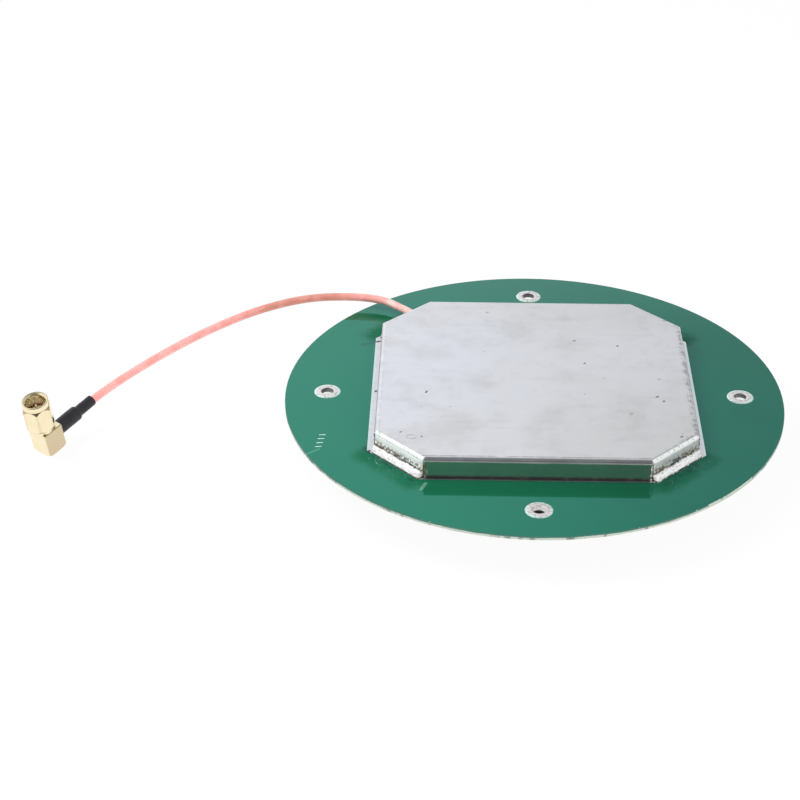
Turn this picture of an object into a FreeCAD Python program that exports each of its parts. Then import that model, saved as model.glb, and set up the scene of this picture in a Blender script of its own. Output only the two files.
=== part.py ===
import FreeCAD, Part
import math
import os

# Survey antenna module: a round ground plane board with a soldered shield can on its upper side,
# two stacked patch radiators under it, and a short coaxial pigtail with a right-angle screw plug.
# Millimetres. +Z points up through the can. Z = 0 is the surface that the part stands on,
# and X = Y = 0 is the centre of the round board.

# Ground plane board and its four plated fixing holes
board_diameter = 150.0
board_thickness = 1.2
mount_hole_edge_distance = 12.7
mount_hole_count = 4
mount_hole_diameter = 3.6
mount_pad_diameter = 8.0
plating_thickness = 0.08

# Shield can: fence soldered to a tinned land on the board, folded lid over the fence
can_to_hole_distance = 15.5
can_height = 6.5
can_corner_cut = 14.6
sheet_thickness = 0.3
bend_radius = 1.2
lid_clearance = 0.1
flange_lift = 0.45
flap_drop = 4.3
corner_seam = 0.9
fence_lip = 2.6
land_thickness = 0.1
land_reach = 2.1
land_front_reach = 1.0
land_inner_reach = 2.4
fillet_reach = 2.05
fillet_height = 2.0
fillet_bulge = 0.35

# Patch radiators on the underside
lower_patch_inset = 2.8
lower_patch_thickness = 6.4
lower_foil_inset = 8.0
upper_patch_inset = 11.0
upper_patch_thickness = 5.0
upper_foil_inset = 7.0
foil_thickness = 0.1
foil_corner_cut = 4.0
patch_corner_cut = 1.5
tuning_stub_width = 3.0
tuning_stub_length = 2.2

# Feed pins through both radiators into the can
feed_place_share = 0.54
feed_count = 4
feed_pin_diameter = 1.3
feed_dome_radius = 1.7
feed_dome_height = 0.9
feed_relief_diameter = 3.4
feed_joint_height = 0.8
feed_joint_radius = 1.5

# Screws that hold the radiators to the board
screw_edge_distance = 3.5
screw_diameter = 3.0
screw_head_diameter = 5.6
screw_head_height = 2.1
screw_head_edge = 0.5
screw_slot_width = 0.9
screw_slot_depth = 1.0
screw_tail = 0.6
screw_nut_width = 5.5
screw_nut_height = 2.4

# Parts of the amplifier inside the can: footprint and height, then places as shares of the can's width
coupler_size = (6.4, 5.0, 1.9)
coupler_places = [(-0.10, -0.25), (0.10, -0.25), (0.0, -0.36)]
filter_size = (5.0, 5.0, 1.7)
filter_places = [(0.20, -0.13), (-0.20, 0.16)]
amplifier_size = (3.0, 3.0, 0.9)
amplifier_places = [(0.25, 0.05), (0.09, 0.25), (-0.14, 0.28)]
regulator_size = (6.5, 3.5, 1.6)
regulator_place = (-0.38, -0.07)
choke_size = (3.2, 2.5, 2.0)
choke_place = (-0.16, 0.37)
passive_size = (1.6, 0.8, 0.6)
passive_row_count = 5
passive_row_pitch = 1.7
passive_row_gap = 1.6

# Coaxial cable: jacket, braid, dielectric and conductor diameters
cable_diameter = 2.5
braid_diameter = 2.0
dielectric_diameter = 1.5
conductor_diameter = 0.5
cable_hole_clearance = 0.2
cable_exit_offset = 4.65
cable_exit_height = 3.0
cable_exit_run = 7.1
tail_jacket_length = 5.5
tail_braid_length = 3.4
tail_dielectric_length = 1.5
tail_conductor_length = 2.2
braid_solder_width = 4.4

# Route of the free cable after its straight start: X and Y from the point where it leaves the can,
# and height above the surface that the part stands on
cord_bends = [
    (-11.4, 10.1, 18.2),
    (-22.3, 11.5, 18.4),
    (-35.8, 10.7, 18.1),
    (-50.3, 4.6, 17.2),
    (-64.8, -5.6, 15.6),
    (-77.7, -17.0, 13.6),
    (-90.1, -30.0, 11.3),
    (-98.7, -40.5, 9.2),
    (-102.8, -46.0, 7.8),
]

# Right-angle screw plug: body block, measured from the crossing of its two axes
plug_roll = 2.7
plug_front = 2.5
plug_back = 4.6
plug_half_width = 3.6
plug_top = 4.1
plug_bottom = 4.35
plug_foot_radius = 4.1
plug_edge_radius = 0.3
plug_cavity_radius = 2.4
plug_cavity_top = 1.6
rear_cap_thickness = 1.0
collar_radius = 3.4
collar_height = 1.2
neck_radius = 2.75
neck_length = 4.5
ring_groove_depth = 0.45
ring_groove_start = 1.9
ring_groove_width = 0.8
contact_sleeve_radius = 2.3
contact_sleeve_length = 1.5
insulator_radius = 1.9
pin_radius = 0.45
pin_reach = 2.3
pin_cup_radius = 0.8
pin_cup_depth = 2.2
close_fit = 0.03

# Coupling nut that turns on the plug's neck
nut_width = 8.0
nut_turn = -14.0
nut_hex_length = 8.1
nut_collar_length = 1.9
nut_collar_radius = 4.05
nut_chamfer = 1.0
nut_mouth_edge = 0.2
nut_lead_in = 0.6
nut_lift = 0.2
nut_wall_length = 1.6
nut_groove_length = 1.2
nut_groove_radius = 3.3
nut_bore_radius = 2.95
nut_running_clearance = 0.05
snap_ring_thickness = 0.5
snap_ring_reach = 0.35
snap_ring_gap_angle = 40.0
gasket_thickness = 0.8
gasket_clearance = 0.1

# Crimp and heat-shrink sleeve behind the plug
post_radius = 1.15
post_bore_radius = 0.8
post_length = 7.2
ferrule_radius = 2.0
ferrule_bore_radius = 1.55
ferrule_length = 8.6
ferrule_gap = 0.1
sleeve_wall = 0.28
sleeve_tail_wall = 0.35
sleeve_taper_length = 1.0
sleeve_tail_length = 6.0
sleeve_tail_clearance = 0.1

# Sizes worked out from the ones above
mount_circle_diameter = board_diameter - 2 * mount_hole_edge_distance
can_width = mount_circle_diameter - 2 * can_to_hole_distance
lower_patch_side = can_width - 2 * lower_patch_inset
lower_foil_side = lower_patch_side - 2 * lower_foil_inset
upper_patch_side = lower_patch_side - 2 * upper_patch_inset
upper_foil_side = upper_patch_side - 2 * upper_foil_inset
feed_circle_radius = feed_place_share * upper_foil_side / 2
screw_spread = upper_patch_side / 2 - screw_edge_distance

# Levels above the surface that the part stands on
upper_patch_bottom = screw_head_height
upper_patch_top = upper_patch_bottom + upper_patch_thickness
lower_patch_bottom = upper_patch_top + foil_thickness
board_bottom = lower_patch_bottom + lower_patch_thickness
board_top = board_bottom + board_thickness
land_top = board_top + land_thickness
lid_top = board_top + can_height
fence_top = lid_top - sheet_thickness
flap_foot = lid_top - flap_drop
cable_exit_level = board_top + cable_exit_height

root_two = math.sqrt(2.0)
up = FreeCAD.Vector(0, 0, 1)


def point(x, y, z=0.0):
    return FreeCAD.Vector(x, y, z)


def cylinder(radius, z_low, z_high, x=0.0, y=0.0):
    return Part.makeCylinder(radius, z_high - z_low, point(x, y, z_low))


def tube(outer, inner, z_low, z_high, x=0.0, y=0.0):
    return cylinder(outer, z_low, z_high, x, y).cut(cylinder(inner, z_low - 1, z_high + 1, x, y))


def block(x_low, x_high, y_low, y_high, z_low, z_high):
    return Part.makeBox(x_high - x_low, y_high - y_low, z_high - z_low, point(x_low, y_low, z_low))


def square_prism(side, corner_cut, z_low, z_high):
    half = side / 2
    inner = half - corner_cut
    corners = [(half, -inner), (half, inner), (inner, half), (-inner, half),
               (-half, inner), (-half, -inner), (-inner, -half), (inner, -half)]
    outline = Part.makePolygon([point(x, y, z_low) for x, y in corners + corners[:1]])
    return Part.Face(outline).extrude(up * (z_high - z_low))


def can_prism(offset, z_low, z_high):
    # The can's octagon moved outwards by the same offset on all eight sides
    return square_prism(can_width + 2 * offset, can_corner_cut + offset * (2 - root_two), z_low, z_high)


def rounded_can_prism(offset, z_low, z_high, radius):
    prism = can_prism(offset, z_low, z_high)
    rim = [edge for edge in prism.Edges
           if all(abs(vertex.Z - z_high) < 1e-6 for vertex in edge.Vertexes)]
    return prism.makeFillet(radius, rim)


def on_circle(radius, count, start_angle=0.0):
    angles = [math.radians(start_angle + 360.0 * index / count) for index in range(count)]
    return [(radius * math.cos(angle), radius * math.sin(angle)) for angle in angles]


def turned(shape, angle):
    copy = shape.copy()
    copy.rotate(point(0, 0), up, angle)
    return copy


def revolved(profile, axis_start, axis_direction):
    closed = profile + profile[:1]
    face = Part.Face(Part.makePolygon(closed))
    return face.revolve(axis_start, axis_direction, 360)


def cut_all(shape, tools):
    for tool in tools:
        shape = shape.cut(tool)
    return shape


def hex_prism(width, z_low, z_high):
    corner_radius = width / math.sqrt(3.0)
    corners = [point(x, y, z_low) for x, y in on_circle(corner_radius, 6)]
    return Part.Face(Part.makePolygon(corners + corners[:1])).extrude(up * (z_high - z_low))


screw_places = [(screw_spread * x, screw_spread * y) for x in (-1, 1) for y in (-1, 1)]
feed_places = on_circle(feed_circle_radius, feed_count)
mount_places = on_circle(mount_circle_diameter / 2, mount_hole_count)
fit_gap = 0.05


def fastener_holes(z_low, z_high):
    screws = [cylinder(screw_diameter / 2 + 2 * fit_gap, z_low - 1, z_high + 1, x, y)
              for x, y in screw_places + [(0, 0)]]
    pins = [cylinder(feed_pin_diameter / 2 + fit_gap, z_low - 1, z_high + 1, x, y)
            for x, y in feed_places]
    return screws + pins


def ground_plane_board():
    board = cylinder(board_diameter / 2, board_bottom, board_top)
    barrel = mount_hole_diameter / 2 + plating_thickness
    holes = [cylinder(barrel, board_bottom - 1, board_top + 1, x, y) for x, y in mount_places]
    return cut_all(board, holes + fastener_holes(board_bottom, board_top))


def mounting_hole_plating():
    # Each eyelet is a plated barrel with a pad on both faces of the board
    bore = mount_hole_diameter / 2
    barrel = bore + plating_thickness
    pad = mount_pad_diameter / 2
    eyelets = []
    for x, y in mount_places:
        wall = tube(barrel, bore, board_bottom, board_top, x, y)
        top_pad = tube(pad, bore, board_top, board_top + plating_thickness, x, y)
        low_pad = tube(pad, bore, board_bottom - plating_thickness, board_bottom, x, y)
        eyelets.append(wall.fuse([top_pad, low_pad]).removeSplitter())
    return Part.makeCompound(eyelets)


def front_and_back(inner):
    # What lies further to the front or the back than this distance from the centre
    far = board_diameter / 2
    return [block(-far, far, inner, far, board_bottom, lid_top + 1),
            block(-far, far, -far, -inner, board_bottom, lid_top + 1)]


def shield_land():
    # Tinned ring, wider at the two sides and the cut corners than at the front and the back
    ring = can_prism(land_reach, board_top, land_top)
    ring = cut_all(ring, front_and_back(can_width / 2 + land_front_reach))
    return ring.cut(can_prism(-land_inner_reach, board_top - 1, land_top + 1))


# Distance from the centre to the can's cut corner, and length of that side
diagonal_distance = (can_width - can_corner_cut) / root_two
diagonal_length = can_corner_cut * root_two
diagonal_angles = [45, 135, 225, 315]
cable_corner_angle = 135


def diagonal_block(inner, outer, half_length, z_low, z_high, angle, shift=0.0):
    shape = block(diagonal_distance + inner, diagonal_distance + outer,
                  shift - half_length, shift + half_length, z_low, z_high)
    return turned(shape, angle)


def cable_bore(radius, inner, outer):
    # Straight hole along the cable's axis, through the wall of the cut corner
    base = point(diagonal_distance + inner, -cable_exit_offset, cable_exit_level)
    hole = Part.makeCylinder(radius, outer - inner, base, point(1, 0, 0))
    return turned(hole, cable_corner_angle)


def shield_fence():
    side = -sheet_thickness - lid_clearance
    shell = rounded_can_prism(side, land_top, fence_top, bend_radius - sheet_thickness)
    inside = rounded_can_prism(side - sheet_thickness, land_top - 1, fence_top - sheet_thickness,
                               bend_radius - 2 * sheet_thickness)
    window = can_prism(side - sheet_thickness - fence_lip, land_top - 1, fence_top + 1)
    wall_hole = cable_bore(cable_diameter / 2 + cable_hole_clearance, -3.0, 1.0)
    return cut_all(shell, [inside, window, wall_hole])


def shield_lid():
    foot = land_top + flange_lift
    shell = rounded_can_prism(0, foot, lid_top, bend_radius)
    hollow = rounded_can_prism(-sheet_thickness, foot - 1, fence_top, bend_radius - sheet_thickness)
    lid = shell.cut(hollow)
    seam_top = lid_top - bend_radius - sheet_thickness
    half_side = can_width / 2 - can_corner_cut
    corner_reach = math.hypot(can_width / 2, half_side)
    corner_angle = math.degrees(math.atan2(half_side, can_width / 2))
    for quarter in range(4):
        lid = lid.cut(diagonal_block(-1.5, 1.5, diagonal_length / 2, foot - 1, flap_foot, 45 + 90 * quarter))
        for angle in (corner_angle, 90 - corner_angle):
            seam = block(corner_reach - 1.5, corner_reach + 1.5, -corner_seam / 2, corner_seam / 2,
                         foot - 1, seam_top)
            lid = lid.cut(turned(seam, angle + 90 * quarter))
    slot_half = cable_diameter / 2 + cable_hole_clearance
    slot = diagonal_block(-1.5, 1.5, slot_half, foot - 1, cable_exit_level, cable_corner_angle,
                          -cable_exit_offset)
    return cut_all(lid, [slot, cable_bore(slot_half, -1.5, 1.5)])


def fillet_section(length_start, length_end):
    # Solder section: foot on the land, back against the fence, bulged outer face
    back = diagonal_distance - sheet_thickness - lid_clearance
    toe = diagonal_distance + fillet_reach
    top = board_top + fillet_height
    middle_x = (back + toe) / 2 + fillet_bulge
    middle_z = (top + land_top) / 2 + fillet_bulge
    heel = point(back, length_start, land_top)
    toe_point = point(toe, length_start, land_top)
    top_point = point(back, length_start, top)
    face_arc = Part.Arc(toe_point, point(middle_x, length_start, middle_z), top_point).toShape()
    foot_edge = Part.LineSegment(heel, toe_point).toShape()
    back_edge = Part.LineSegment(top_point, heel).toShape()
    outline = Part.Wire([foot_edge, face_arc, back_edge])
    return Part.Face(outline).extrude(point(0, length_end - length_start, 0))


def corner_solder():
    half = diagonal_length / 2
    cable_room = cable_diameter / 2 + 1.0
    joints = []
    for angle in diagonal_angles:
        if angle == cable_corner_angle:
            joints.append(turned(fillet_section(-half, -cable_exit_offset - cable_room), angle))
            joints.append(turned(fillet_section(-cable_exit_offset + cable_room, half), angle))
        else:
            joints.append(turned(fillet_section(-half, half), angle))
    beyond_land = front_and_back(can_width / 2 + land_front_reach)
    return Part.makeCompound([cut_all(joint, beyond_land) for joint in joints])


def patch_board(side, z_low, z_high):
    board = square_prism(side, patch_corner_cut, z_low, z_high)
    return cut_all(board, fastener_holes(z_low, z_high))


def patch_foil(side, z_low, z_high, pin_hole_radius):
    foil = square_prism(side, foil_corner_cut, z_low, z_high)
    reach = side / 2 + tuning_stub_length
    stub = block(0, reach, -tuning_stub_width / 2, tuning_stub_width / 2, z_low, z_high)
    foil = foil.fuse([turned(stub, 90 * quarter) for quarter in range(4)]).removeSplitter()
    screws = [cylinder(screw_diameter / 2 + 2 * fit_gap, z_low - 1, z_high + 1, x, y)
              for x, y in screw_places + [(0, 0)]]
    pins = [cylinder(pin_hole_radius, z_low - 1, z_high + 1, x, y) for x, y in feed_places]
    return cut_all(foil, screws + pins)


def lower_patch_board():
    return patch_board(lower_patch_side, lower_patch_bottom, board_bottom)


def lower_patch_foil():
    return patch_foil(lower_foil_side, upper_patch_top, lower_patch_bottom, feed_relief_diameter / 2)


def upper_patch_board():
    return patch_board(upper_patch_side, upper_patch_bottom, upper_patch_top)


def upper_patch_foil():
    foil_bottom = upper_patch_bottom - foil_thickness
    foil = patch_foil(upper_foil_side, foil_bottom, upper_patch_bottom, feed_pin_diameter / 2 + fit_gap)
    head_room = screw_head_diameter / 2 + 2 * fit_gap
    heads = [cylinder(head_room, foil_bottom - 1, upper_patch_bottom + 1, x, y)
             for x, y in screw_places + [(0, 0)]]
    return cut_all(foil, heads)


feed_pin_bottom = upper_patch_bottom - foil_thickness - 0.7 * feed_dome_height
feed_pin_top = board_top + 0.7 * feed_joint_height


def feed_pins():
    return Part.makeCompound([cylinder(feed_pin_diameter / 2, feed_pin_bottom, feed_pin_top, x, y)
                              for x, y in feed_places])


def solder_cap(radius, height):
    # Low cone of solder that stands on Z = 0
    return Part.makeCone(radius, radius * 0.45, height)


def feed_solder(level, radius, height, downwards):
    caps = []
    for x, y in feed_places:
        cap = solder_cap(radius, height)
        if downwards:
            cap.rotate(point(0, 0), point(1, 0, 0), 180)
        cap.translate(point(x, y, level))
        pin = cylinder(feed_pin_diameter / 2, feed_pin_bottom, feed_pin_top, x, y)
        caps.append(cap.cut(pin))
    return Part.makeCompound(caps)


def feed_solder_outer():
    return feed_solder(upper_patch_bottom - foil_thickness, feed_dome_radius, feed_dome_height, True)


def feed_solder_inner():
    return feed_solder(board_top, feed_joint_radius, feed_joint_height, False)


screw_end = board_top + screw_nut_height + screw_tail


def cheese_screw():
    # Slotted screw with its head's face on the standing surface and its tail inside the can
    head = screw_head_diameter / 2
    shank = screw_diameter / 2
    profile = [point(0, 0, 0), point(head - screw_head_edge, 0, 0), point(head, 0, screw_head_edge),
               point(head, 0, screw_head_height), point(shank, 0, screw_head_height),
               point(shank, 0, screw_end - fit_gap * 8), point(shank - fit_gap * 8, 0, screw_end),
               point(0, 0, screw_end)]
    screw = revolved(profile, point(0, 0, 0), up)
    slot = block(-head - 1, head + 1, -screw_slot_width / 2, screw_slot_width / 2, -1, screw_slot_depth)
    return screw.cut(slot)


def screw_at(x, y, slot_angle):
    screw = turned(cheese_screw(), slot_angle)
    screw.translate(point(x, y))
    return screw


def patch_screws():
    slot_angles = [20, 75, 130, 165]
    return Part.makeCompound([screw_at(x, y, angle) for (x, y), angle in zip(screw_places, slot_angles)])


def centre_screw():
    return screw_at(0, 0, 35)


def hex_nut_at(x, y, angle):
    nut = hex_prism(screw_nut_width, board_top, board_top + screw_nut_height)
    nut = nut.cut(cylinder(screw_diameter / 2 + fit_gap, board_top - 1, screw_end + 1))
    nut = turned(nut, angle)
    nut.translate(point(x, y))
    return nut


def patch_screw_nuts():
    return Part.makeCompound([hex_nut_at(x, y, 10 + x - y) for x, y in screw_places])


def centre_nut():
    return hex_nut_at(0, 0, 8)


def chip_at(size, place):
    length, width, height = size
    x, y = place[0] * can_width, place[1] * can_width
    return block(x - length / 2, x + length / 2, y - width / 2, y + width / 2, board_top, board_top + height)


def hybrid_couplers():
    return Part.makeCompound([chip_at(coupler_size, place) for place in coupler_places])


def ceramic_filters():
    return Part.makeCompound([chip_at(filter_size, place) for place in filter_places])


def amplifier_chips():
    return Part.makeCompound([chip_at(amplifier_size, place) for place in amplifier_places])


def voltage_regulator():
    return chip_at(regulator_size, regulator_place)


def bias_choke():
    return chip_at(choke_size, choke_place)


def passive_chips():
    # A row of small parts beside each amplifier and beside the regulator
    rows = []
    neighbours = [(amplifier_size, place) for place in amplifier_places]
    neighbours.append((regulator_size, regulator_place))
    turned_size = (passive_size[1], passive_size[0], passive_size[2])
    for size, (x_share, y_share) in neighbours:
        row_y = y_share + (size[1] / 2 + passive_row_gap) / can_width
        for index in range(passive_row_count):
            offset = (index - (passive_row_count - 1) / 2) * passive_row_pitch
            rows.append(chip_at(turned_size, (x_share + offset / can_width, row_y)))
    return Part.makeCompound(rows)


def along_exit(distance, lateral=0.0, level=cable_exit_level):
    # Point at a distance outwards from the can's corner wall, on the cable's axis
    spot = point(diagonal_distance + distance, -cable_exit_offset + lateral, level)
    return FreeCAD.Rotation(up, cable_corner_angle).multVec(spot)


exit_direction = FreeCAD.Rotation(up, cable_corner_angle).multVec(point(1, 0, 0))


def tail_length(start, length, diameter):
    return Part.makeCylinder(diameter / 2, length, along_exit(-start - length), exit_direction)


tail_braid_start = tail_jacket_length
tail_dielectric_start = tail_braid_start + tail_braid_length
tail_conductor_start = tail_dielectric_start + tail_dielectric_length


def tail_jacket():
    return tail_length(0, tail_jacket_length, cable_diameter)


def tail_braid():
    return tail_length(tail_braid_start, tail_braid_length, braid_diameter)


def tail_dielectric():
    return tail_length(tail_dielectric_start, tail_dielectric_length, dielectric_diameter)


def tail_conductor():
    # Straight out of the dielectric, then bent down to its pad on the board
    bend = 4 * conductor_diameter
    start = along_exit(-tail_conductor_start)
    bend_start = along_exit(-tail_conductor_start - tail_conductor_length + bend)
    bend_end = along_exit(-tail_conductor_start - tail_conductor_length, level=cable_exit_level - bend)
    foot = along_exit(-tail_conductor_start - tail_conductor_length, level=board_top)
    share = 1 - math.sqrt(0.5)
    bend_middle = along_exit(-tail_conductor_start - tail_conductor_length + bend * share,
                             level=cable_exit_level - bend * share)
    path = Part.Wire([Part.LineSegment(start, bend_start).toShape(),
                      Part.Arc(bend_start, bend_middle, bend_end).toShape(),
                      Part.LineSegment(bend_end, foot).toShape()])
    section = Part.Wire(Part.makeCircle(conductor_diameter / 2, start, exit_direction))
    return path.makePipeShell([section], True, False)


def braid_solder():
    # Heap of solder that ties the braid down to the board
    half = braid_solder_width / 2
    inset = 0.5
    low = tail_braid_start + inset
    high = tail_braid_start + tail_braid_length - inset
    base = diagonal_distance - high
    heap = block(base, base + high - low, -cable_exit_offset - half, -cable_exit_offset + half,
                 board_top, cable_exit_level + braid_diameter / 2 + inset)
    rim = [edge for edge in heap.Edges
           if all(vertex.Z > cable_exit_level for vertex in edge.Vertexes)]
    heap = turned(heap.makeChamfer(inset, rim), cable_corner_angle)
    return heap.cut(tail_length(tail_braid_start - 1, tail_braid_length + 2, braid_diameter))


cable_exit = along_exit(0)
cord_points = [cable_exit, along_exit(cable_exit_run)]
cord_points += [point(cable_exit.x + x, cable_exit.y + y, z) for x, y, z in cord_bends]


def cord_path(points):
    # Straight runs joined by tangent arcs, each as large as its two runs allow
    edges = []
    start = points[0]
    for before, corner, after in zip(points, points[1:], points[2:]):
        back = before - corner
        ahead = after - corner
        turn = math.pi - back.getAngle(ahead)
        setback = 0.45 * min(back.Length, ahead.Length)
        radius = setback / math.tan(turn / 2)
        print("cable bend: turn %.1f deg, radius %.1f mm" % (math.degrees(turn), radius))
        arc_start = corner + back * (setback / back.Length)
        arc_end = corner + ahead * (setback / ahead.Length)
        to_centre = back * (1 / back.Length) + ahead * (1 / ahead.Length)
        centre_distance = math.hypot(radius, setback)
        middle = corner + to_centre * ((centre_distance - radius) / to_centre.Length)
        edges.append(Part.LineSegment(start, arc_start).toShape())
        edges.append(Part.Arc(arc_start, middle, arc_end).toShape())
        start = arc_end
    edges.append(Part.LineSegment(start, points[-1]).toShape())
    return Part.Wire(edges)


def pigtail_cable():
    path = cord_path(cord_points)
    start_direction = cord_points[1] - cord_points[0]
    section = Part.Wire(Part.makeCircle(cable_diameter / 2, cord_points[0], start_direction))
    cable = path.makePipeShell([section], True, False)
    expected = math.pi * cable_diameter ** 2 / 4 * path.Length
    print("cable length %.1f mm, volume %.1f mm3, section times length %.1f mm3"
          % (path.Length, cable.Volume, expected))
    return cable


# The plug is built with its cable axis on +X and its nut axis on +Z, then set on the cable's end
plug_cable_reach = plug_back + ferrule_gap + ferrule_length
last_run = cord_points[-2] - cord_points[-1]
plug_heading = math.degrees(math.atan2(last_run.y, last_run.x))
plug_rise = math.degrees(math.atan2(last_run.z, math.hypot(last_run.x, last_run.y)))
plug_rotation = FreeCAD.Rotation(plug_heading, -plug_rise, plug_roll)
plug_centre = cord_points[-1] - plug_rotation.multVec(point(plug_cable_reach, 0))
plug_placement = FreeCAD.Placement(plug_centre, plug_rotation)

neck_bottom = plug_top + collar_height
neck_top = neck_bottom + neck_length
sleeve_tip = neck_top + contact_sleeve_length
groove_bottom = neck_bottom + ring_groove_start
nut_bottom = neck_bottom + nut_lift
nut_hex_top = nut_bottom + nut_hex_length
nut_top = nut_hex_top + nut_collar_length


def set_on_cable(shape):
    placed = shape.copy()
    placed.Placement = plug_placement
    return placed


def along_x(radius, x_low, x_high):
    return Part.makeCylinder(radius, x_high - x_low, point(x_low, 0), point(1, 0, 0))


def plug_body():
    # Square block with its corners turned off in a cone at the foot
    base = block(-plug_front, plug_back, -plug_half_width, plug_half_width, -plug_bottom, plug_top)
    base = base.makeFillet(plug_edge_radius, base.Edges)
    spread = plug_bottom + plug_top
    middle = (plug_back - plug_front) / 2
    foot_cone = Part.makeCone(plug_foot_radius, plug_foot_radius + spread, spread,
                              point(middle, 0, -plug_bottom))
    base = base.common(foot_cone)
    collar = cylinder(collar_radius, plug_top - 1, neck_bottom)
    neck = cylinder(neck_radius, plug_top, neck_top)
    sleeve = cylinder(contact_sleeve_radius, neck_top - 1, sleeve_tip)
    post = along_x(post_radius, plug_back - 1, plug_back + post_length)
    body = base.fuse([collar, neck, sleeve, post]).removeSplitter()
    groove = tube(neck_radius + 1, neck_radius - ring_groove_depth, groove_bottom,
                  groove_bottom + ring_groove_width)
    cavity = cylinder(plug_cavity_radius, -plug_bottom - 1, plug_cavity_top)
    contact_bore = cylinder(insulator_radius + close_fit, 0, sleeve_tip + 1)
    cable_bore_x = along_x(post_bore_radius, 0, plug_back + post_length + 1)
    return cut_all(body, [groove, cavity, contact_bore, cable_bore_x])


def plug_rear_cap():
    return cylinder(plug_cavity_radius - close_fit, -plug_bottom, -plug_bottom + rear_cap_thickness)


def plug_insulator():
    return tube(insulator_radius, pin_radius + close_fit, plug_cavity_top, sleeve_tip - close_fit)


def plug_centre_pin():
    cup_top = plug_cavity_top - 2 * close_fit
    tip = sleeve_tip + pin_reach
    point_length = 0.5
    profile = [point(0, 0, cup_top - pin_cup_depth), point(pin_cup_radius, 0, cup_top - pin_cup_depth),
               point(pin_cup_radius, 0, cup_top), point(pin_radius, 0, cup_top),
               point(pin_radius, 0, tip - point_length), point(pin_radius / 2, 0, tip), point(0, 0, tip)]
    pin = revolved(profile, point(0, 0, 0), up)
    return pin.cut(along_x(conductor_diameter / 2 + close_fit, 0, pin_cup_radius + 1))


def plug_gasket():
    return tube(neck_radius - gasket_clearance / 2, contact_sleeve_radius + close_fit,
                neck_top, neck_top + gasket_thickness)


def snap_ring():
    inner = neck_radius - ring_groove_depth + close_fit
    outer = neck_radius + snap_ring_reach
    low = groove_bottom + (ring_groove_width - snap_ring_thickness) / 2
    ring = tube(outer, inner, low, low + snap_ring_thickness)
    half_gap = math.radians(snap_ring_gap_angle / 2)
    reach = 2 * outer
    wedge = [point(0, 0, low - 1), point(reach, reach * math.tan(half_gap), low - 1),
             point(reach, -reach * math.tan(half_gap), low - 1)]
    opening = Part.Face(Part.makePolygon(wedge + wedge[:1])).extrude(up * (snap_ring_thickness + 2))
    return ring.cut(opening)


def coupling_nut():
    # Hexagon with chamfered corners at both ends, and a round collar at the mouth
    corner = nut_width / math.sqrt(3.0)
    flat = nut_width / 2
    chamfer_profile = [point(0, 0, nut_bottom), point(flat, 0, nut_bottom),
                       point(corner, 0, nut_bottom + nut_chamfer),
                       point(corner, 0, nut_hex_top - nut_chamfer),
                       point(flat, 0, nut_hex_top), point(0, 0, nut_hex_top)]
    barrel = revolved(chamfer_profile, point(0, 0, 0), up)
    nut = hex_prism(nut_width, nut_bottom, nut_hex_top).common(barrel)
    collar = cylinder(nut_collar_radius, nut_hex_top, nut_top)
    mouth_edge = [edge for edge in collar.Edges if edge.BoundBox.ZMin > nut_top - 1e-6]
    nut = nut.fuse(collar.makeChamfer(nut_mouth_edge, mouth_edge)).removeSplitter()
    rear_bore = neck_radius + nut_running_clearance
    wall_top = nut_bottom + nut_wall_length
    groove_top = wall_top + nut_groove_length
    lead_in = nut_bore_radius + nut_lead_in
    bore_profile = [point(0, 0, nut_bottom - 1), point(rear_bore, 0, nut_bottom - 1),
                    point(rear_bore, 0, wall_top), point(nut_groove_radius, 0, wall_top),
                    point(nut_groove_radius, 0, groove_top), point(nut_bore_radius, 0, groove_top),
                    point(nut_bore_radius, 0, nut_top - nut_lead_in), point(lead_in, 0, nut_top),
                    point(lead_in, 0, nut_top + 1), point(0, 0, nut_top + 1)]
    nut = nut.cut(revolved(bore_profile, point(0, 0, 0), up))
    return turned(nut, nut_turn)


ferrule_start = plug_back + ferrule_gap


def crimp_ferrule():
    return along_x(ferrule_radius, ferrule_start, plug_cable_reach).cut(
        along_x(ferrule_bore_radius, ferrule_start - 1, plug_cable_reach + 1))


def crimped_braid():
    braid_end = plug_back + post_length
    return along_x(ferrule_bore_radius - close_fit, ferrule_start, braid_end).cut(
        along_x(post_radius + close_fit, ferrule_start - 1, braid_end + 1))


def plug_dielectric():
    return along_x(dielectric_diameter / 2, plug_cavity_radius, plug_cable_reach).cut(
        along_x(conductor_diameter / 2, 0, plug_cable_reach + 1))


def plug_conductor():
    return along_x(conductor_diameter / 2, close_fit, plug_cable_reach)


def heat_shrink():
    # Sleeve shrunk over the ferrule, stepping down onto the cable's jacket
    step = plug_cable_reach + close_fit
    tail_start = step + sleeve_taper_length
    end = tail_start + sleeve_tail_length
    wide = ferrule_radius + close_fit
    narrow = cable_diameter / 2 + sleeve_tail_clearance
    profile = [point(ferrule_start, 0, wide), point(step, 0, wide), point(tail_start, 0, narrow),
               point(end, 0, narrow), point(end, 0, narrow + sleeve_tail_wall),
               point(tail_start, 0, narrow + sleeve_tail_wall), point(step, 0, wide + sleeve_wall),
               point(ferrule_start, 0, wide + sleeve_wall)]
    return revolved(profile, point(0, 0, 0), point(1, 0, 0))


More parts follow.
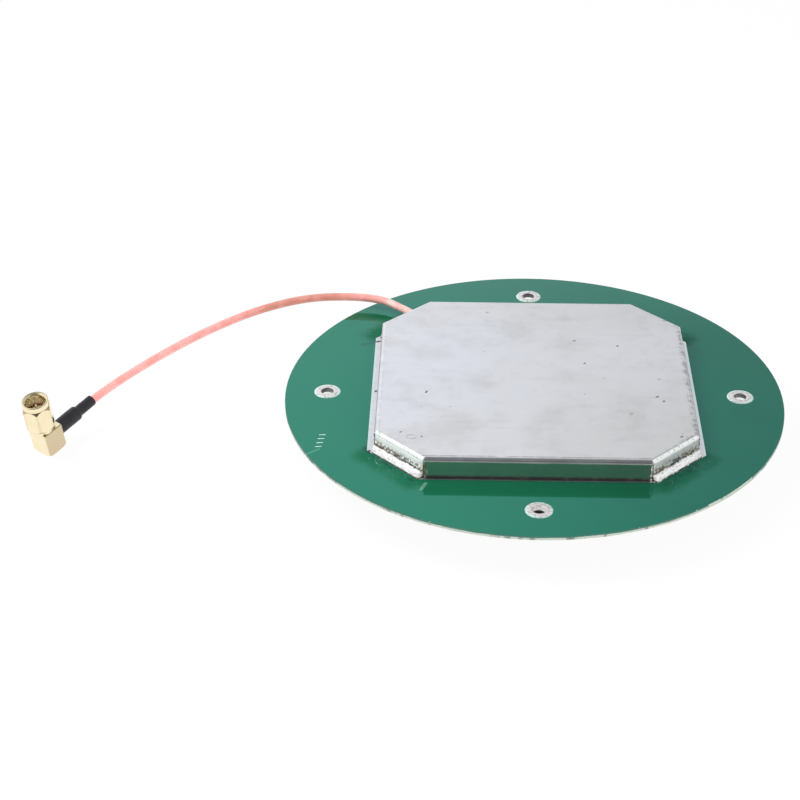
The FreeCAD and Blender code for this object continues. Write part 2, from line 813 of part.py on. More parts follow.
standing_pieces = [
    ground_plane_board, mounting_hole_plating, shield_land, shield_fence, shield_lid, corner_solder,
    lower_patch_board, lower_patch_foil, upper_patch_board, upper_patch_foil,
    feed_pins, feed_solder_outer, feed_solder_inner, patch_screws, patch_screw_nuts,
    centre_screw, centre_nut, hybrid_couplers, ceramic_filters, amplifier_chips,
    voltage_regulator, bias_choke, passive_chips, tail_jacket, tail_braid, tail_dielectric,
    tail_conductor, braid_solder, pigtail_cable,
]
plug_pieces = [
    plug_body, plug_rear_cap, plug_insulator, plug_centre_pin, plug_gasket, snap_ring, coupling_nut,
    crimp_ferrule, crimped_braid, plug_dielectric, plug_conductor, heat_shrink,
]


def main():
    os.makedirs("parts", exist_ok=True)
    for piece in standing_pieces:
        piece().exportStep("parts/%s.step" % piece.__name__)
    for piece in plug_pieces:
        set_on_cable(piece()).exportStep("parts/%s.step" % piece.__name__)
    nut_axis = plug_rotation.multVec(up)
    print("nut axis passes (%.3f, %.3f, %.3f) along (%.5f, %.5f, %.5f)"
          % (plug_centre.x, plug_centre.y, plug_centre.z, nut_axis.x, nut_axis.y, nut_axis.z))


main()
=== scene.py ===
import math
import random

import bmesh
import bpy
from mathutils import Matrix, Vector, noise


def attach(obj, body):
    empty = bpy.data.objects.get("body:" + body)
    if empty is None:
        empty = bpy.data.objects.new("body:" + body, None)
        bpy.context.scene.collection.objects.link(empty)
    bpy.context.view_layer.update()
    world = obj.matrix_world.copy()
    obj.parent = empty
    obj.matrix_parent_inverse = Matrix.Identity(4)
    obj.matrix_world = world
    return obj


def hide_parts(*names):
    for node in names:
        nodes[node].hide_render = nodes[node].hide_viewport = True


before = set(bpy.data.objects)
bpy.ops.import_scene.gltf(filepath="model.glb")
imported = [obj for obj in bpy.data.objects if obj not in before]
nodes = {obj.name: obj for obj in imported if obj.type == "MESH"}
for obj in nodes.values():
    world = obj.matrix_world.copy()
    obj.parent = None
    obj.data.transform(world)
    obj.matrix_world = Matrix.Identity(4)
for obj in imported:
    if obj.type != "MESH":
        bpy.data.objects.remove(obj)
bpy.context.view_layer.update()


MM = 0.001

# Sizes that the CAD part has, in millimetres
BOARD_TOP = 14.8
BOARD_BOTTOM = 13.6
BOARD_RADIUS = 75.0
CAN_HALF = 46.8
CAN_CUT = 14.6
CAN_TOP = 21.3
LAND_TOP = 14.9
LAND_REACH = 2.1
LAND_FRONT_REACH = 1.0
FLAP_FOOT = 17.0
FLAP_DISTANCE = (2 * CAN_HALF - CAN_CUT) / math.sqrt(2)
FLAP_HALF_LENGTH = CAN_CUT / math.sqrt(2)
CABLE_RADIUS = 1.25
CABLE_ANGLE = 135
CABLE_SHIFT = -4.65
CABLE_ROOM = 2.25
HOLE_CIRCLE = 62.3

# Where the bend of the lid's flaps ends and the hand-soldered joint starts
JOINT_TOP = 19.9
CORNERS = (45, 135, 225, 315)

# The plug's own axes: cable axis, cross axis and nut axis, from where the two axes cross
PLUG_CENTRE = Vector((-146.800, -13.660, 5.141))
PLUG_X = Vector((0.5855948, 0.7855540, 0.1999592))
PLUG_Y = Vector((-0.8064855, 0.5894497, 0.0461551))
PLUG_Z = Vector((-0.0816086, -0.1882924, 0.9787165))
NUT_TURN = math.radians(-14.0)


# Node trees

class Field:
    """An output of a node, with arithmetic that adds math nodes to its tree"""

    def __init__(self, socket):
        self.socket = socket
        self.tree = socket.id_data

    def __add__(self, other):
        return calc("ADD", self, other)

    def __sub__(self, other):
        return calc("SUBTRACT", self, other)

    def __rsub__(self, other):
        return calc("SUBTRACT", other, self)

    def __mul__(self, other):
        return calc("MULTIPLY", self, other)

    def __truediv__(self, other):
        return calc("DIVIDE", self, other)

    def __abs__(self):
        return calc("ABSOLUTE", self)


def plug(value, socket):
    if isinstance(value, Field):
        value.tree.links.new(value.socket, socket)
    elif socket.type == "RGBA":
        socket.default_value = (*value[:3], 1)
    else:
        socket.default_value = value


def plug_all(node, values):
    for key, value in values.items():
        plug(value, node.inputs[key])


def add(tree, kind, inputs=None, **settings):
    made = tree.nodes.new(kind)
    for key, value in settings.items():
        setattr(made, key, value)
    plug_all(made, inputs or {})
    return made


def result(node, key=0):
    return Field(node.outputs[key])


def calc(operation, *values, clamp=False):
    tree = next(value.tree for value in values if isinstance(value, Field))
    return result(add(tree, "ShaderNodeMath", dict(enumerate(values)), operation=operation, use_clamp=clamp))


def vector_calc(operation, *values):
    made = add(values[0].tree, "ShaderNodeVectorMath", dict(enumerate(values)), operation=operation)
    return result(made, "Value" if operation in ("DISTANCE", "DOT_PRODUCT", "LENGTH") else "Vector")


def separate(vector):
    return [Field(part) for part in add(vector.tree, "ShaderNodeSeparateXYZ", {0: vector}).outputs]


def mix(factor, first, second):
    made = add(factor.tree, "ShaderNodeMix", {0: factor, 6: first, 7: second}, data_type="RGBA")
    return result(made, 2)


def ramp(value, low, high, start=0.0, end=1.0, smooth=True):
    inputs = {"Value": value, "From Min": low, "From Max": high, "To Min": start, "To Max": end}
    kind = "SMOOTHSTEP" if smooth else "LINEAR"
    return result(add(value.tree, "ShaderNodeMapRange", inputs, interpolation_type=kind))


def most(first, *others):
    for other in others:
        first = calc("MAXIMUM", first, other)
    return first


def clouds(vector, scale, detail, roughness=0.5):
    return result(add(vector.tree, "ShaderNodeTexNoise", {
        "Vector": vector, "Scale": scale, "Detail": detail, "Roughness": roughness}), "Fac")


def relief(height, strength, depth, **below):
    # The keyword Normal names the finer relief on top
    return result(add(height.tree, "ShaderNodeBump", {
        "Strength": strength, "Distance": depth, "Height": height, **below}))


def object_point(tree):
    return result(add(tree, "ShaderNodeTexCoord"), "Object")


def map_parts(tree, name):
    return separate(result(add(tree, "ShaderNodeUVMap", uv_map=name)))


def group(name, inputs, outputs):
    # Inputs that have a default are numbers, the others are vectors
    tree = bpy.data.node_groups.new(name, "ShaderNodeTree")
    for label, default in inputs.items():
        kind = "NodeSocketVector" if default is None else "NodeSocketFloat"
        socket = tree.interface.new_socket(label, in_out="INPUT", socket_type=kind)
        if default is not None:
            socket.default_value = default
    for label, kind in outputs.items():
        tree.interface.new_socket(label, in_out="OUTPUT", socket_type="NodeSocket" + kind)
    start = tree.nodes.new("NodeGroupInput")
    end = tree.nodes.new("NodeGroupOutput")
    return tree, [result(start, label) for label in inputs], end


def placed(shared, inputs):
    made = add(inputs["Vector"].tree, "ShaderNodeGroup", inputs, node_tree=shared)
    return {socket.name: Field(socket) for socket in made.outputs}


def empty_tree(owner):
    owner.use_nodes = True
    owner.node_tree.nodes.clear()
    return owner.node_tree


def material(name):
    made = bpy.data.materials.new(name)
    tree = empty_tree(made)
    surface = add(tree, "ShaderNodeBsdfPrincipled")
    tree.links.new(surface.outputs[0], add(tree, "ShaderNodeOutputMaterial").inputs[0])
    return made, surface, object_point(tree)


# Effects that several materials share

def streak_group():
    # Soft mark along the line between two points of the surface
    tree, (vector, start, end, width, softness), outcome = group("streak", {
        "Vector": None, "Start": None, "End": None, "Width": 0.0005, "Softness": 0.0003}, {"Mask": "Float"})
    along = vector_calc("SUBTRACT", end, start)
    offset = vector_calc("SUBTRACT", vector, start)
    square = most(vector_calc("DOT_PRODUCT", along, along), 1e-12)
    share = calc("DIVIDE", vector_calc("DOT_PRODUCT", offset, along), square, clamp=True)
    nearest = result(add(tree, "ShaderNodeVectorMath", {0: along, "Scale": share}, operation="SCALE"))
    apart = vector_calc("DISTANCE", offset, nearest)
    plug_all(outcome, {"Mask": ramp(apart, width, width + softness, 1.0, 0.0)})
    return tree


def patches_group():
    # Cloudy patches between 0 and 1, with a chosen size and cover
    tree, (vector, scale, cover, softness, detail), outcome = group("patches", {
        "Vector": None, "Scale": 100.0, "Cover": 0.5, "Softness": 0.2, "Detail": 4.0}, {"Mask": "Float"})
    # A noise field fills the middle of its range, so the cover is spread over that middle
    edge = ramp(cover, 0.0, 1.0, 0.72, 0.28, smooth=False)
    half = softness * 0.5
    plug_all(outcome, {"Mask": ramp(clouds(vector, scale, detail, 0.6), edge - half, edge + half)})
    return tree


def outline_group():
    # Distance inwards from the can's four long sides and four cut corners, in plan
    tree, (vector, half_width, cut), outcome = group("can outline", {
        "Vector": None, "Half Width": CAN_HALF * MM, "Corner Cut": CAN_CUT * MM},
        {"Side Distance": "Float", "Corner Distance": "Float", "Distance": "Float"})
    across, along = [abs(part) for part in separate(vector)[:2]]
    side = half_width - most(across, along)
    corner = (half_width * 2.0 - cut - (across + along)) * math.sqrt(0.5)
    plug_all(outcome, {"Side Distance": side, "Corner Distance": corner,
                       "Distance": calc("MINIMUM", side, corner)})
    return tree


def grain_group():
    # Fine bump and roughness that keeps a finish from looking like glass
    tree, (vector, scale, strength, depth, roughness, variation), outcome = group("fine grain", {
        "Vector": None, "Scale": 4000.0, "Bump": 0.1, "Depth": 0.00002, "Roughness": 0.3,
        "Variation": 0.1}, {"Normal": "Vector", "Roughness": "Float"})
    change = (clouds(vector, scale * 0.07, 2.0) - 0.5) * variation
    plug_all(outcome, {"Normal": relief(clouds(vector, scale, 3.0, 0.6), strength, depth),
                       "Roughness": calc("ADD", roughness, change, clamp=True)})
    return tree


STREAK = streak_group()
PATCHES = patches_group()
OUTLINE = outline_group()
GRAIN = grain_group()


def streaks(vector, level, marks):
    # The strongest of several marks at one level: two ends in plan, width and softness, in millimetres
    return most(*[placed(STREAK, {
        "Vector": vector, "Start": (x1 * MM, y1 * MM, level * MM), "End": (x2 * MM, y2 * MM, level * MM),
        "Width": width * MM, "Softness": softness * MM})["Mask"]
        for x1, y1, x2, y2, width, softness in marks])


def patches(vector, scale, cover, softness=0.1, detail=4.0):
    return placed(PATCHES, {"Vector": vector, "Scale": scale, "Cover": cover, "Softness": softness,
                            "Detail": detail})["Mask"]


def grain(surface, vector, scale, strength, depth, roughness, variation):
    made = placed(GRAIN, {"Vector": vector, "Scale": scale, "Bump": strength, "Depth": depth * MM,
                          "Roughness": roughness, "Variation": variation})
    plug_all(surface, made)
    return made


def outline_distance(vector, kind):
    return placed(OUTLINE, {"Vector": vector})[kind]


# Materials

def solder_mask_material():
    made, surface, point = material("green solder mask")
    x, y, z = separate(point)
    # Painted light and sheen: the mask is painted lighter on the left, where the lamp stands, and darker
    # towards the right, and a painted sheen greys it towards the back
    colour = mix(ramp(x, -30 * MM, 65 * MM), (0.0035, 0.106, 0.044), (0.0030, 0.060, 0.026))
    colour = mix(ramp(y, 35 * MM, 75 * MM) * 0.8, colour, (0.022, 0.098, 0.058))
    colour = mix(patches(point, 30.0, 0.5, 0.4) * 0.25, colour, (0.0050, 0.112, 0.052))
    # Marks of handling and soldering: a long scratch, a dark smudge, burnt flux at the corners
    scratch = streaks(point, BOARD_TOP, [
        (47.7, 35.1, 53.6, 25.7, 0.14, 0.30), (47.9, 34.4, 51.4, 32.0, 0.03, 0.25)])
    smudge = streaks(point, BOARD_TOP, [(-53.0, 28.9, -48.2, 30.9, 0.2, 1.0)])
    burnt = streaks(point, BOARD_TOP, [
        (-49.4, -31.6, -48.0, -33.4, 0.5, 1.3), (-47.0, -36.6, -35.2, -48.4, 0.2, 0.7),
        (36.0, -48.6, 47.0, -37.6, 0.2, 0.8)])
    dark = most(scratch * 0.75, smudge * 0.55, burnt * patches(point, 700.0, 0.55, 0.12) * 0.75)
    colour = mix(dark, colour, (0.008, 0.030, 0.022))
    # Pale rubs and splashes
    rub = streaks(point, BOARD_TOP, [
        (-67.4, -36.4, -62.8, -32.4, 0.04, 0.3), (-32.8, -52.8, -31.6, -49.6, 0.25, 0.5),
        (22.0, 50.2, 24.4, 50.6, 0.05, 0.4)])
    splashed = streaks(point, BOARD_TOP, [
        (-47.6, -37.8, -38.0, -46.8, 0.5, 1.2), (36.6, -50.2, 45.4, -43.8, 0.4, 1.2)])
    splashed = splashed * patches(point, 800.0, 0.16, 0.06)
    colour = mix(most(rub * 0.35, splashed * 0.6), colour, (0.30, 0.50, 0.42))
    # Rim of the board: dark resin above, bare laminate below and where the mask has chipped away
    flat = vector_calc("MULTIPLY", point, (1, 1, 0))
    rim = ramp(vector_calc("LENGTH", flat), (BOARD_RADIUS - 0.06) * MM, (BOARD_RADIUS - 0.02) * MM)
    fibres = clouds(vector_calc("MULTIPLY", point, (160, 160, 5200)), 1.0, 3.0)
    bare = mix(fibres, (0.26, 0.25, 0.19), (0.66, 0.66, 0.58))
    stained = mix(fibres, (0.030, 0.060, 0.042), (0.080, 0.120, 0.090))
    bare = mix(patches(flat, 160.0, 0.34, 0.12, 5.0) * 0.8, bare, (0.06, 0.055, 0.035))
    uneven = (fibres - 0.5) * (0.9 * MM)
    low_part = ramp(z + uneven, (BOARD_TOP - 0.35) * MM, (BOARD_TOP - 0.65) * MM)
    chipped = streaks(point, BOARD_TOP, [(48.9, -57.2, 59.6, -45.8, 1.6, 1.2)])
    side = most(low_part, patches(point, 420.0, 0.10, 0.05), chipped * patches(point, 300.0, 0.75, 0.1))
    colour = mix(rim, colour, mix(side, stained, bare))
    # Clear glossy lacquer; flux residue dulls it beside the soldered corners, and the rim is matt
    fine = grain(surface, point, 2500.0, 0.03, 0.01, 0.06, 0.04)
    along_corner = ramp(abs(abs(x) - abs(y)), 14 * MM, 24 * MM, 1.0, 0.0)
    residue = ramp(outline_distance(point, "Corner Distance"), -5 * MM, -11 * MM, 1.0, 0.0)
    residue = residue * along_corner * ramp(patches(point, 240.0, 0.6, 0.3), 0.0, 1.0, 0.65, 1.0)
    dull = most(residue * 0.60, rim * 0.6)
    plug_all(surface, {
        "Base Color": colour, "IOR": 1.62, "Specular Tint": (0.06, 1.0, 0.93),
        "Specular IOR Level": ramp(residue, 0.0, 1.0, 0.85, 0.42), "Roughness": most(fine["Roughness"], dull),
        "Normal": relief(clouds(point, 60.0, 2.0), 0.15, 0.02 * MM, Normal=fine["Normal"])})
    return made


def land_material():
    # Tinned ring: brightest at its rim, where a painted greenish highlight stands for the light on the tin
    # curving down
    made, surface, point = material("tinned land")
    lavender = mix(patches(point, 260.0, 0.5, 0.3), (0.80, 0.79, 0.83), (0.86, 0.83, 0.86))
    rim = ramp(outline_distance(point, "Side Distance"), -1.45 * MM, -1.70 * MM)
    colour = mix(rim, lavender, (0.80, 0.93, 0.90))
    colour = mix(patches(point, 900.0, 0.10, 0.04) * 0.5, colour, (0.30, 0.29, 0.31))
    marks = streaks(point, LAND_TOP, [
        (-47.6, 0.6, -47.7, 0.2, 0.28, 0.25), (-47.7, 31.1, -48.4, 30.8, 0.25, 0.5),
        (-48.2, -33.2, -48.4, -34.0, 0.25, 0.4)])
    colour = mix(marks * 0.85, colour, (0.05, 0.04, 0.05))
    plug_all(surface, {"Base Color": colour, "Metallic": 1.0})
    grain(surface, point, 1500.0, 0.35, 0.04, 0.34, 0.15)
    return made


# Specks on the lid: place, length and direction, size
LID_SPECKS = [
    (-32.3, -10.7, 0.3, 0.9, 0.13), (15.5, 7.8, 0.2, 0.2, 0.15), (12.7, 21.6, 0.6, 0.2, 0.10),
    (26.1, 18.7, 0.2, 0.1, 0.18), (35.9, -11.5, 0.5, 0.3, 0.16), (37.8, -14.1, 0.2, 0.5, 0.12),
    (-39.3, -33.0, 0.3, 0.2, 0.08), (-33.2, -35.2, 0.3, 0.1, 0.08), (41.2, -33.5, 0.4, 0.2, 0.14),
]


def can_material():
    # Tinned sheet: satin top with stains and specks, bright walls, painted shade on the front bend and at the
    # foot of the walls, painted highlights on the corner bends
    made, surface, point = material("tinned can sheet")
    x, y, z = separate(point)
    # Painted reflection: a bluish tint on the left and back, more neutral towards the right and front
    drift = ramp(x + y * -0.45, -45 * MM, 40 * MM)
    colour = mix(drift, (0.875, 0.872, 0.912), (0.885, 0.877, 0.885))
    # Stains from broad to fine, and wiped places
    colour = mix(patches(point, 17.0, 0.5, 0.30, 5.0) * 0.7, colour, (0.815, 0.800, 0.770))
    colour = mix(patches(point, 60.0, 0.34, 0.18, 6.0) * 0.26, colour, (0.60, 0.585, 0.56))
    colour = mix(patches(point, 210.0, 0.30, 0.20, 5.0) * 0.10, colour, (0.52, 0.50, 0.50))
    colour = mix(patches(point, 95.0, 0.22, 0.14, 5.0) * 0.20, colour, (0.90, 0.90, 0.92))
    wiped = clouds(vector_calc("MULTIPLY", point, (30, 220, 1)), 1.0, 4.0)
    colour = mix(ramp(wiped, 0.56, 0.70) * 0.10, colour, (0.50, 0.49, 0.50))
    # A small ring and specks
    disc, hole = [streaks(point, CAN_TOP, [(-36.4, -35.4, -35.6, -35.4, width, softness)])
                  for width, softness in ((1.15, 0.3), (0.55, 0.35))]
    ring = calc("SUBTRACT", disc, hole, clamp=True) * patches(point, 500.0, 0.5, 0.2)
    colour = mix(ring * 0.5, colour, (0.36, 0.37, 0.37))
    specks = streaks(point, CAN_TOP, [
        (a, b, a + da, b + db, size, 0.28) for a, b, da, db, size in LID_SPECKS])
    colour = mix(specks * 0.85, colour, (0.04, 0.04, 0.05))
    colour = mix(patches(point, 260.0, 0.03, 0.02, 6.0) * 0.45, colour, (0.20, 0.19, 0.19))
    # Handling marks in a mottled strip inside the right edge, fainter along the others
    strip = ramp(outline_distance(point, "Distance"), 2.3 * MM, 1.2 * MM) * ramp(z, 20.5 * MM, 20.7 * MM)
    on_right = ramp(x, 38 * MM, 43 * MM, 0.22, 1.0)
    mottled = patches(point, 420.0, 0.46, 0.15, 5.0)
    colour = mix(strip * on_right * mottled * 0.48, colour, (0.26, 0.24, 0.23))
    # The front bend is painted a dull grey, a painted dark reflection of the dim room in front, and a grey
    # film runs down the walls
    bend = ramp(y, -45.5 * MM, -46.2 * MM) * ramp(z, 21.22 * MM, 21.05 * MM) * ramp(z, 20.1 * MM, 20.4 * MM)
    bend_dark_reflection = mix(patches(point, 90.0, 0.5, 0.3), (0.40, 0.42, 0.42), (0.52, 0.54, 0.54))
    colour = mix(bend * 0.9, colour, bend_dark_reflection)
    # Painted dark line along the front fold, standing for its reflection
    crest = streaks(point, CAN_TOP, [(-33.0, -45.2, 33.0, -45.2, 0.05, 0.30)])
    colour = mix(crest * patches(point, 240.0, 0.72, 0.2, 5.0) * 0.6, colour, (0.20, 0.18, 0.17))
    wall = ramp(z, 20.3 * MM, 20.0 * MM)
    upright = vector_calc("MULTIPLY", point, (1, 1, 0.2))
    film = ramp(patches(upright, 140.0, 0.5, 0.35), 0.0, 1.0, 0.55, 0.85)
    colour = mix(wall * film, colour, (0.66, 0.62, 0.61))
    # Painted shade and grime darken the foot of the walls, where they meet the land
    foot = ramp(z, (LAND_TOP + 0.95) * MM, (LAND_TOP + 0.55) * MM)
    foot_shade_and_grime = mix(patches(point, 500.0, 0.35, 0.15), (0.09, 0.095, 0.075), (0.24, 0.26, 0.22))
    colour = mix(foot * 0.9, colour, foot_shade_and_grime)
    # Tin and flux run up over the bends of the four corners, and end at the seams; their whiteness there is
    # also a painted highlight of the bends
    tinned = ramp(outline_distance(point, "Corner Distance"), 1.35 * MM, 1.05 * MM)
    tinned = tinned * ramp(z, 21.27 * MM, 21.10 * MM) * ramp(z, 19.5 * MM, 19.8 * MM)
    tinned = tinned * ramp(abs(abs(x) - abs(y)), 13.6 * MM, 14.2 * MM, 1.0, 0.0)
    tin = mix(patches(point, 900.0, 0.30, 0.10, 5.0) * 0.65, (0.84, 0.86, 0.85), (0.30, 0.29, 0.28))
    colour = mix(tinned, colour, tin)
    fine = grain(surface, point, 1500.0, 0.05, 0.02, 0.30, 0.10)
    plug_all(surface, {
        "Base Color": colour, "Metallic": ramp(tinned, 0.0, 1.0, 1.0, 0.35) * (1.0 - wall * 0.04),
        "Roughness": fine["Roughness"] * ramp(z, 19.6 * MM, 20.3 * MM, 0.35, 1.0),
        "Normal": relief(clouds(point, 45.0, 2.0), 0.5, 0.05 * MM, Normal=fine["Normal"])})
    return made


def joint_material():
    # Hand-soldered corner: the map's first number runs along the corner in metres, the second down the joint
    made, surface, point = material("hand soldered corner")
    place_on = result(add(point.tree, "ShaderNodeUVMap", uv_map="joint"))
    down = separate(place_on)[1]
    colour = mix(patches(point, 330.0, 0.35, 0.15) * 0.6, (0.80, 0.81, 0.79), (0.64, 0.59, 0.60))
    colour = mix(patches(point, 760.0, 0.36, 0.08, 6.0) * 0.55, colour, (0.42, 0.40, 0.39))
    # Painted light: the left joints are painted whitest on their flaps and the right ones on their fillets,
    # as painted highlights, and the right joints' flaps are painted a duller greenish grey as painted shade
    x = separate(point)[0]
    on_left, on_right = ramp(x, -30 * MM, -36 * MM), ramp(x, 30 * MM, 36 * MM)
    flap, fillet = ramp(down, 0.54, 0.46), ramp(down, 0.50, 0.58)
    joint_highlight = most(on_left * flap * 0.85, on_left * fillet * 0.45, on_right * fillet * 0.80)
    colour = mix(on_right * flap * 0.75, colour, (0.40, 0.43, 0.42))
    colour = mix(joint_highlight, colour, (0.96, 0.97, 0.96))
    # Below the crease a thin film and short dashes of flux run along the joint
    lower = ramp(down, 0.60, 0.68) * ramp(down, 0.97, 0.90)
    dash_place = vector_calc("MULTIPLY", place_on, (1.0, 0.02, 1.0))
    film = lower * patches(dash_place, 300.0, 0.36, 0.10, 4.0)
    dashes = lower * patches(dash_place, 620.0, 0.20, 0.06, 3.0)
    colour = mix(film * 0.7, colour, (0.54, 0.48, 0.53))
    # Burnt flux is mottled over the flap's lower half, heaviest in the crease, and edges the toe
    drift = (clouds(point, 420.0, 3.0) - 0.5) * 0.16
    from_crease = abs(down + drift - 0.50)
    ragged = most(patches(point, 480.0, 0.50, 0.10, 6.0), patches(point, 1300.0, 0.45, 0.08))
    crease = ramp(from_crease, 0.030, 0.135, 1.0, 0.0) * ragged
    upper = ramp(down, 0.10, 0.40) * ramp(down, 0.56, 0.50)
    mottle = upper * patches(point, 1100.0, 0.54, 0.07, 6.0)
    toe = ramp(down, 0.93, 0.97) * patches(point, 900.0, 0.75, 0.15)
    burnt = most(crease, mottle * 0.9, dashes * 0.75, toe)
    amber = patches(point, 200.0, 0.42, 0.12)
    colour = mix(burnt, colour, mix(amber, (0.035, 0.032, 0.030), (0.10, 0.075, 0.030)))
    fine = grain(surface, point, 1300.0, 0.5, 0.10, 0.42, 0.25)
    plug_all(surface, {
        "Base Color": colour, "Metallic": ramp(burnt, 0.0, 1.0, 0.30, 0.1),
        "Normal": relief(clouds(point, 600.0, 4.0), 0.7, 0.20 * MM, Normal=fine["Normal"])})
    return made


def solder_material():
    made, surface, point = material("bright solder")
    colour = mix(patches(point, 700.0, 0.25, 0.08, 5.0) * 0.6, (0.86, 0.87, 0.86), (0.20, 0.18, 0.15))
    plug_all(surface, {"Base Color": colour, "Metallic": 1.0})
    grain(surface, point, 1500.0, 0.5, 0.08, 0.25, 0.2)
    return made


def eyelet_material():
    # Solder ring round each hole: rim with a painted greenish highlight, lavender inner slope with fine
    # pinkish grains
    made, surface, point = material("solder coated eyelet")
    radius = map_parts(point.tree, "ring")[1]
    inner = mix(patches(point, 500.0, 0.5, 0.2), (0.74, 0.74, 0.72), (0.84, 0.78, 0.78))
    colour = mix(ramp(radius, 3.1, 3.6), inner, (0.74, 0.95, 0.86))
    colour = mix(patches(point, 1200.0, 0.34, 0.06) * 0.6, colour, (0.34, 0.31, 0.30))
    colour = mix(patches(point, 900.0, 0.22, 0.08) * 0.5, colour, (0.80, 0.62, 0.60))
    # Painted shade darkens the mouths of the holes, except the front one
    further_back = ramp(separate(point)[1], -40 * MM, -20 * MM)
    mouth_shade = ramp(radius, 1.95, 1.82) * ramp(further_back, 0.0, 1.0, 0.1, 0.88)
    plug_all(surface, {"Base Color": mix(mouth_shade, colour, (0.12, 0.12, 0.12)), "Metallic": 0.7})
    grain(surface, point, 1400.0, 0.45, 0.06, 0.33, 0.15)
    return made


GOLD_LIGHT = (0.985, 0.865, 0.600)
GOLD_DEEP = (0.955, 0.815, 0.540)
# Darker gold of the painted shaded side face
GOLD_SHADED_FACE = (0.690, 0.570, 0.375)


def gold_colour(point):
    return mix(patches(point, 260.0, 0.5, 0.35), GOLD_LIGHT, GOLD_DEEP)


def gold_material():
    # Gold plate; the plug's broad side face is painted darker, a painted dark reflection of the shaded floor
    # beside it
    made, surface, point = material("gold plate")
    offset = vector_calc("SUBTRACT", point, tuple(PLUG_CENTRE * MM))
    side = ramp(vector_calc("DOT_PRODUCT", offset, tuple(-PLUG_Y)), 3.42 * MM, 3.56 * MM)
    near_foot = ramp(vector_calc("DOT_PRODUCT", offset, tuple(PLUG_Z)), -4.4 * MM, 2.0 * MM)
    colour = mix(side, gold_colour(point), mix(near_foot, (0.70, 0.55, 0.37), GOLD_SHADED_FACE))
    plug_all(surface, {"Base Color": colour, "Metallic": 1.0})
    grain(surface, point, 2600.0, 0.12, 0.015, 0.14, 0.10)
    return made


def nut_material():
    # Gold plate darkened in the corners by painted shade and painted dark reflections with some tarnish, and
    # a deeper colour painted as shade in the bore; both maps come with the nut
    made, surface, point = material("gold plated nut")
    shade_and_tarnish, deep = [result(add(point.tree, "ShaderNodeAttribute", attribute_name=name), "Fac")
                     for name in ("shade_and_tarnish", "depth")]
    ragged = ramp(patches(point, 1200.0, 0.6, 0.4), 0.0, 1.0, 0.7, 1.0)
    colour = mix(shade_and_tarnish * ragged, gold_colour(point), (0.46, 0.36, 0.20))
    fine = grain(surface, point, 2600.0, 0.08, 0.01, 0.14, 0.10)
    # The bore is satin, where the outside is bright, and painted a deeper colour as shade
    plug_all(surface, {"Base Color": mix(deep, colour, (0.98, 0.84, 0.52)), "Metallic": 1.0,
                       "Roughness": fine["Roughness"] + ramp(deep, 0.0, 0.25, 0.0, 0.40)})
    return made


def foil_material():
    # Etched and tinned radiator foil, with fingerprints
    made, surface, point = material("tinned foil")
    colour = mix(patches(point, 45.0, 0.5, 0.3, 6.0), (0.72, 0.72, 0.71), (0.62, 0.61, 0.59))
    prints = add(point.tree, "ShaderNodeTexWave", {
        "Vector": point, "Scale": 420.0, "Distortion": 7.0, "Detail": 2.0})
    smear = result(prints, "Fac") * patches(point, 38.0, 0.30, 0.15) * 0.25
    plug_all(surface, {"Base Color": mix(smear, colour, (0.50, 0.49, 0.46)), "Metallic": 1.0})
    grain(surface, point, 900.0, 0.15, 0.02, 0.30, 0.15)
    return made


def jacket_material():
    # Clear tinted jacket over a silvered braid: the weave follows the cable's own length and girth
    made, surface, point = material("braid under clear jacket")
    length, turn, _ = map_parts(point.tree, "cable")
    carriers, lay_length = 8.0, 9.0 * MM
    lay = length / lay_length
    right, left = (turn + lay) * carriers, (turn - lay) * carriers
    over = calc("PINGPONG", calc("FLOOR", right) + calc("FLOOR", left), 1.0)
    ridge_right, ridge_left = [calc("SINE", calc("FRACT", part) * math.pi) for part in (right, left)]
    woven = ridge_right * over + ridge_left * (1.0 - over)
    shine = ramp(woven, 0.35, 1.0) * ramp(clouds(point, 260.0, 3.0), 0.40, 0.62, 0.25, 1.0)
    # The tint is deepest on the far bend and clearest beside the can
    near_can = ramp(length, 4 * MM, 24 * MM, 1.0, 0.0)
    far_bend = ramp(length, 16 * MM, 34 * MM) * ramp(length, 75 * MM, 48 * MM)
    tint = mix(far_bend, (0.84, 0.310, 0.270), (0.56, 0.205, 0.145))
    tint = mix(near_can, tint, (0.78, 0.40, 0.35))
    silver = mix(near_can, (0.98, 0.48, 0.46), (1.0, 0.84, 0.80))
    plug_all(surface, {
        "Base Color": mix(shine * ramp(far_bend, 0.0, 1.0, 1.0, 0.55), tint, silver),
        "Metallic": 0.10, "Roughness": 0.38, "Coat Weight": 0.6, "Coat Roughness": 0.16,
        "Normal": relief(woven, 0.4, 0.09 * MM)})
    return made


def shrink_material():
    made, surface, point = material("black shrink sleeve")
    colour = mix(patches(point, 220.0, 0.5, 0.35), (0.016, 0.016, 0.018), (0.022, 0.021, 0.025))
    plug_all(surface, {"Base Color": colour, "IOR": 1.38})
    grain(surface, point, 1400.0, 0.3, 0.03, 0.46, 0.15)
    return made


def plain_material(name, light, dark, roughness, scale=600.0, metallic=0.0):
    made, surface, point = material(name)
    plug_all(surface, {"Base Color": mix(patches(point, scale * 0.2, 0.5, 0.35), light, dark),
                       "Metallic": metallic})
    grain(surface, point, scale, 0.2, 0.03, roughness, 0.1)
    return made


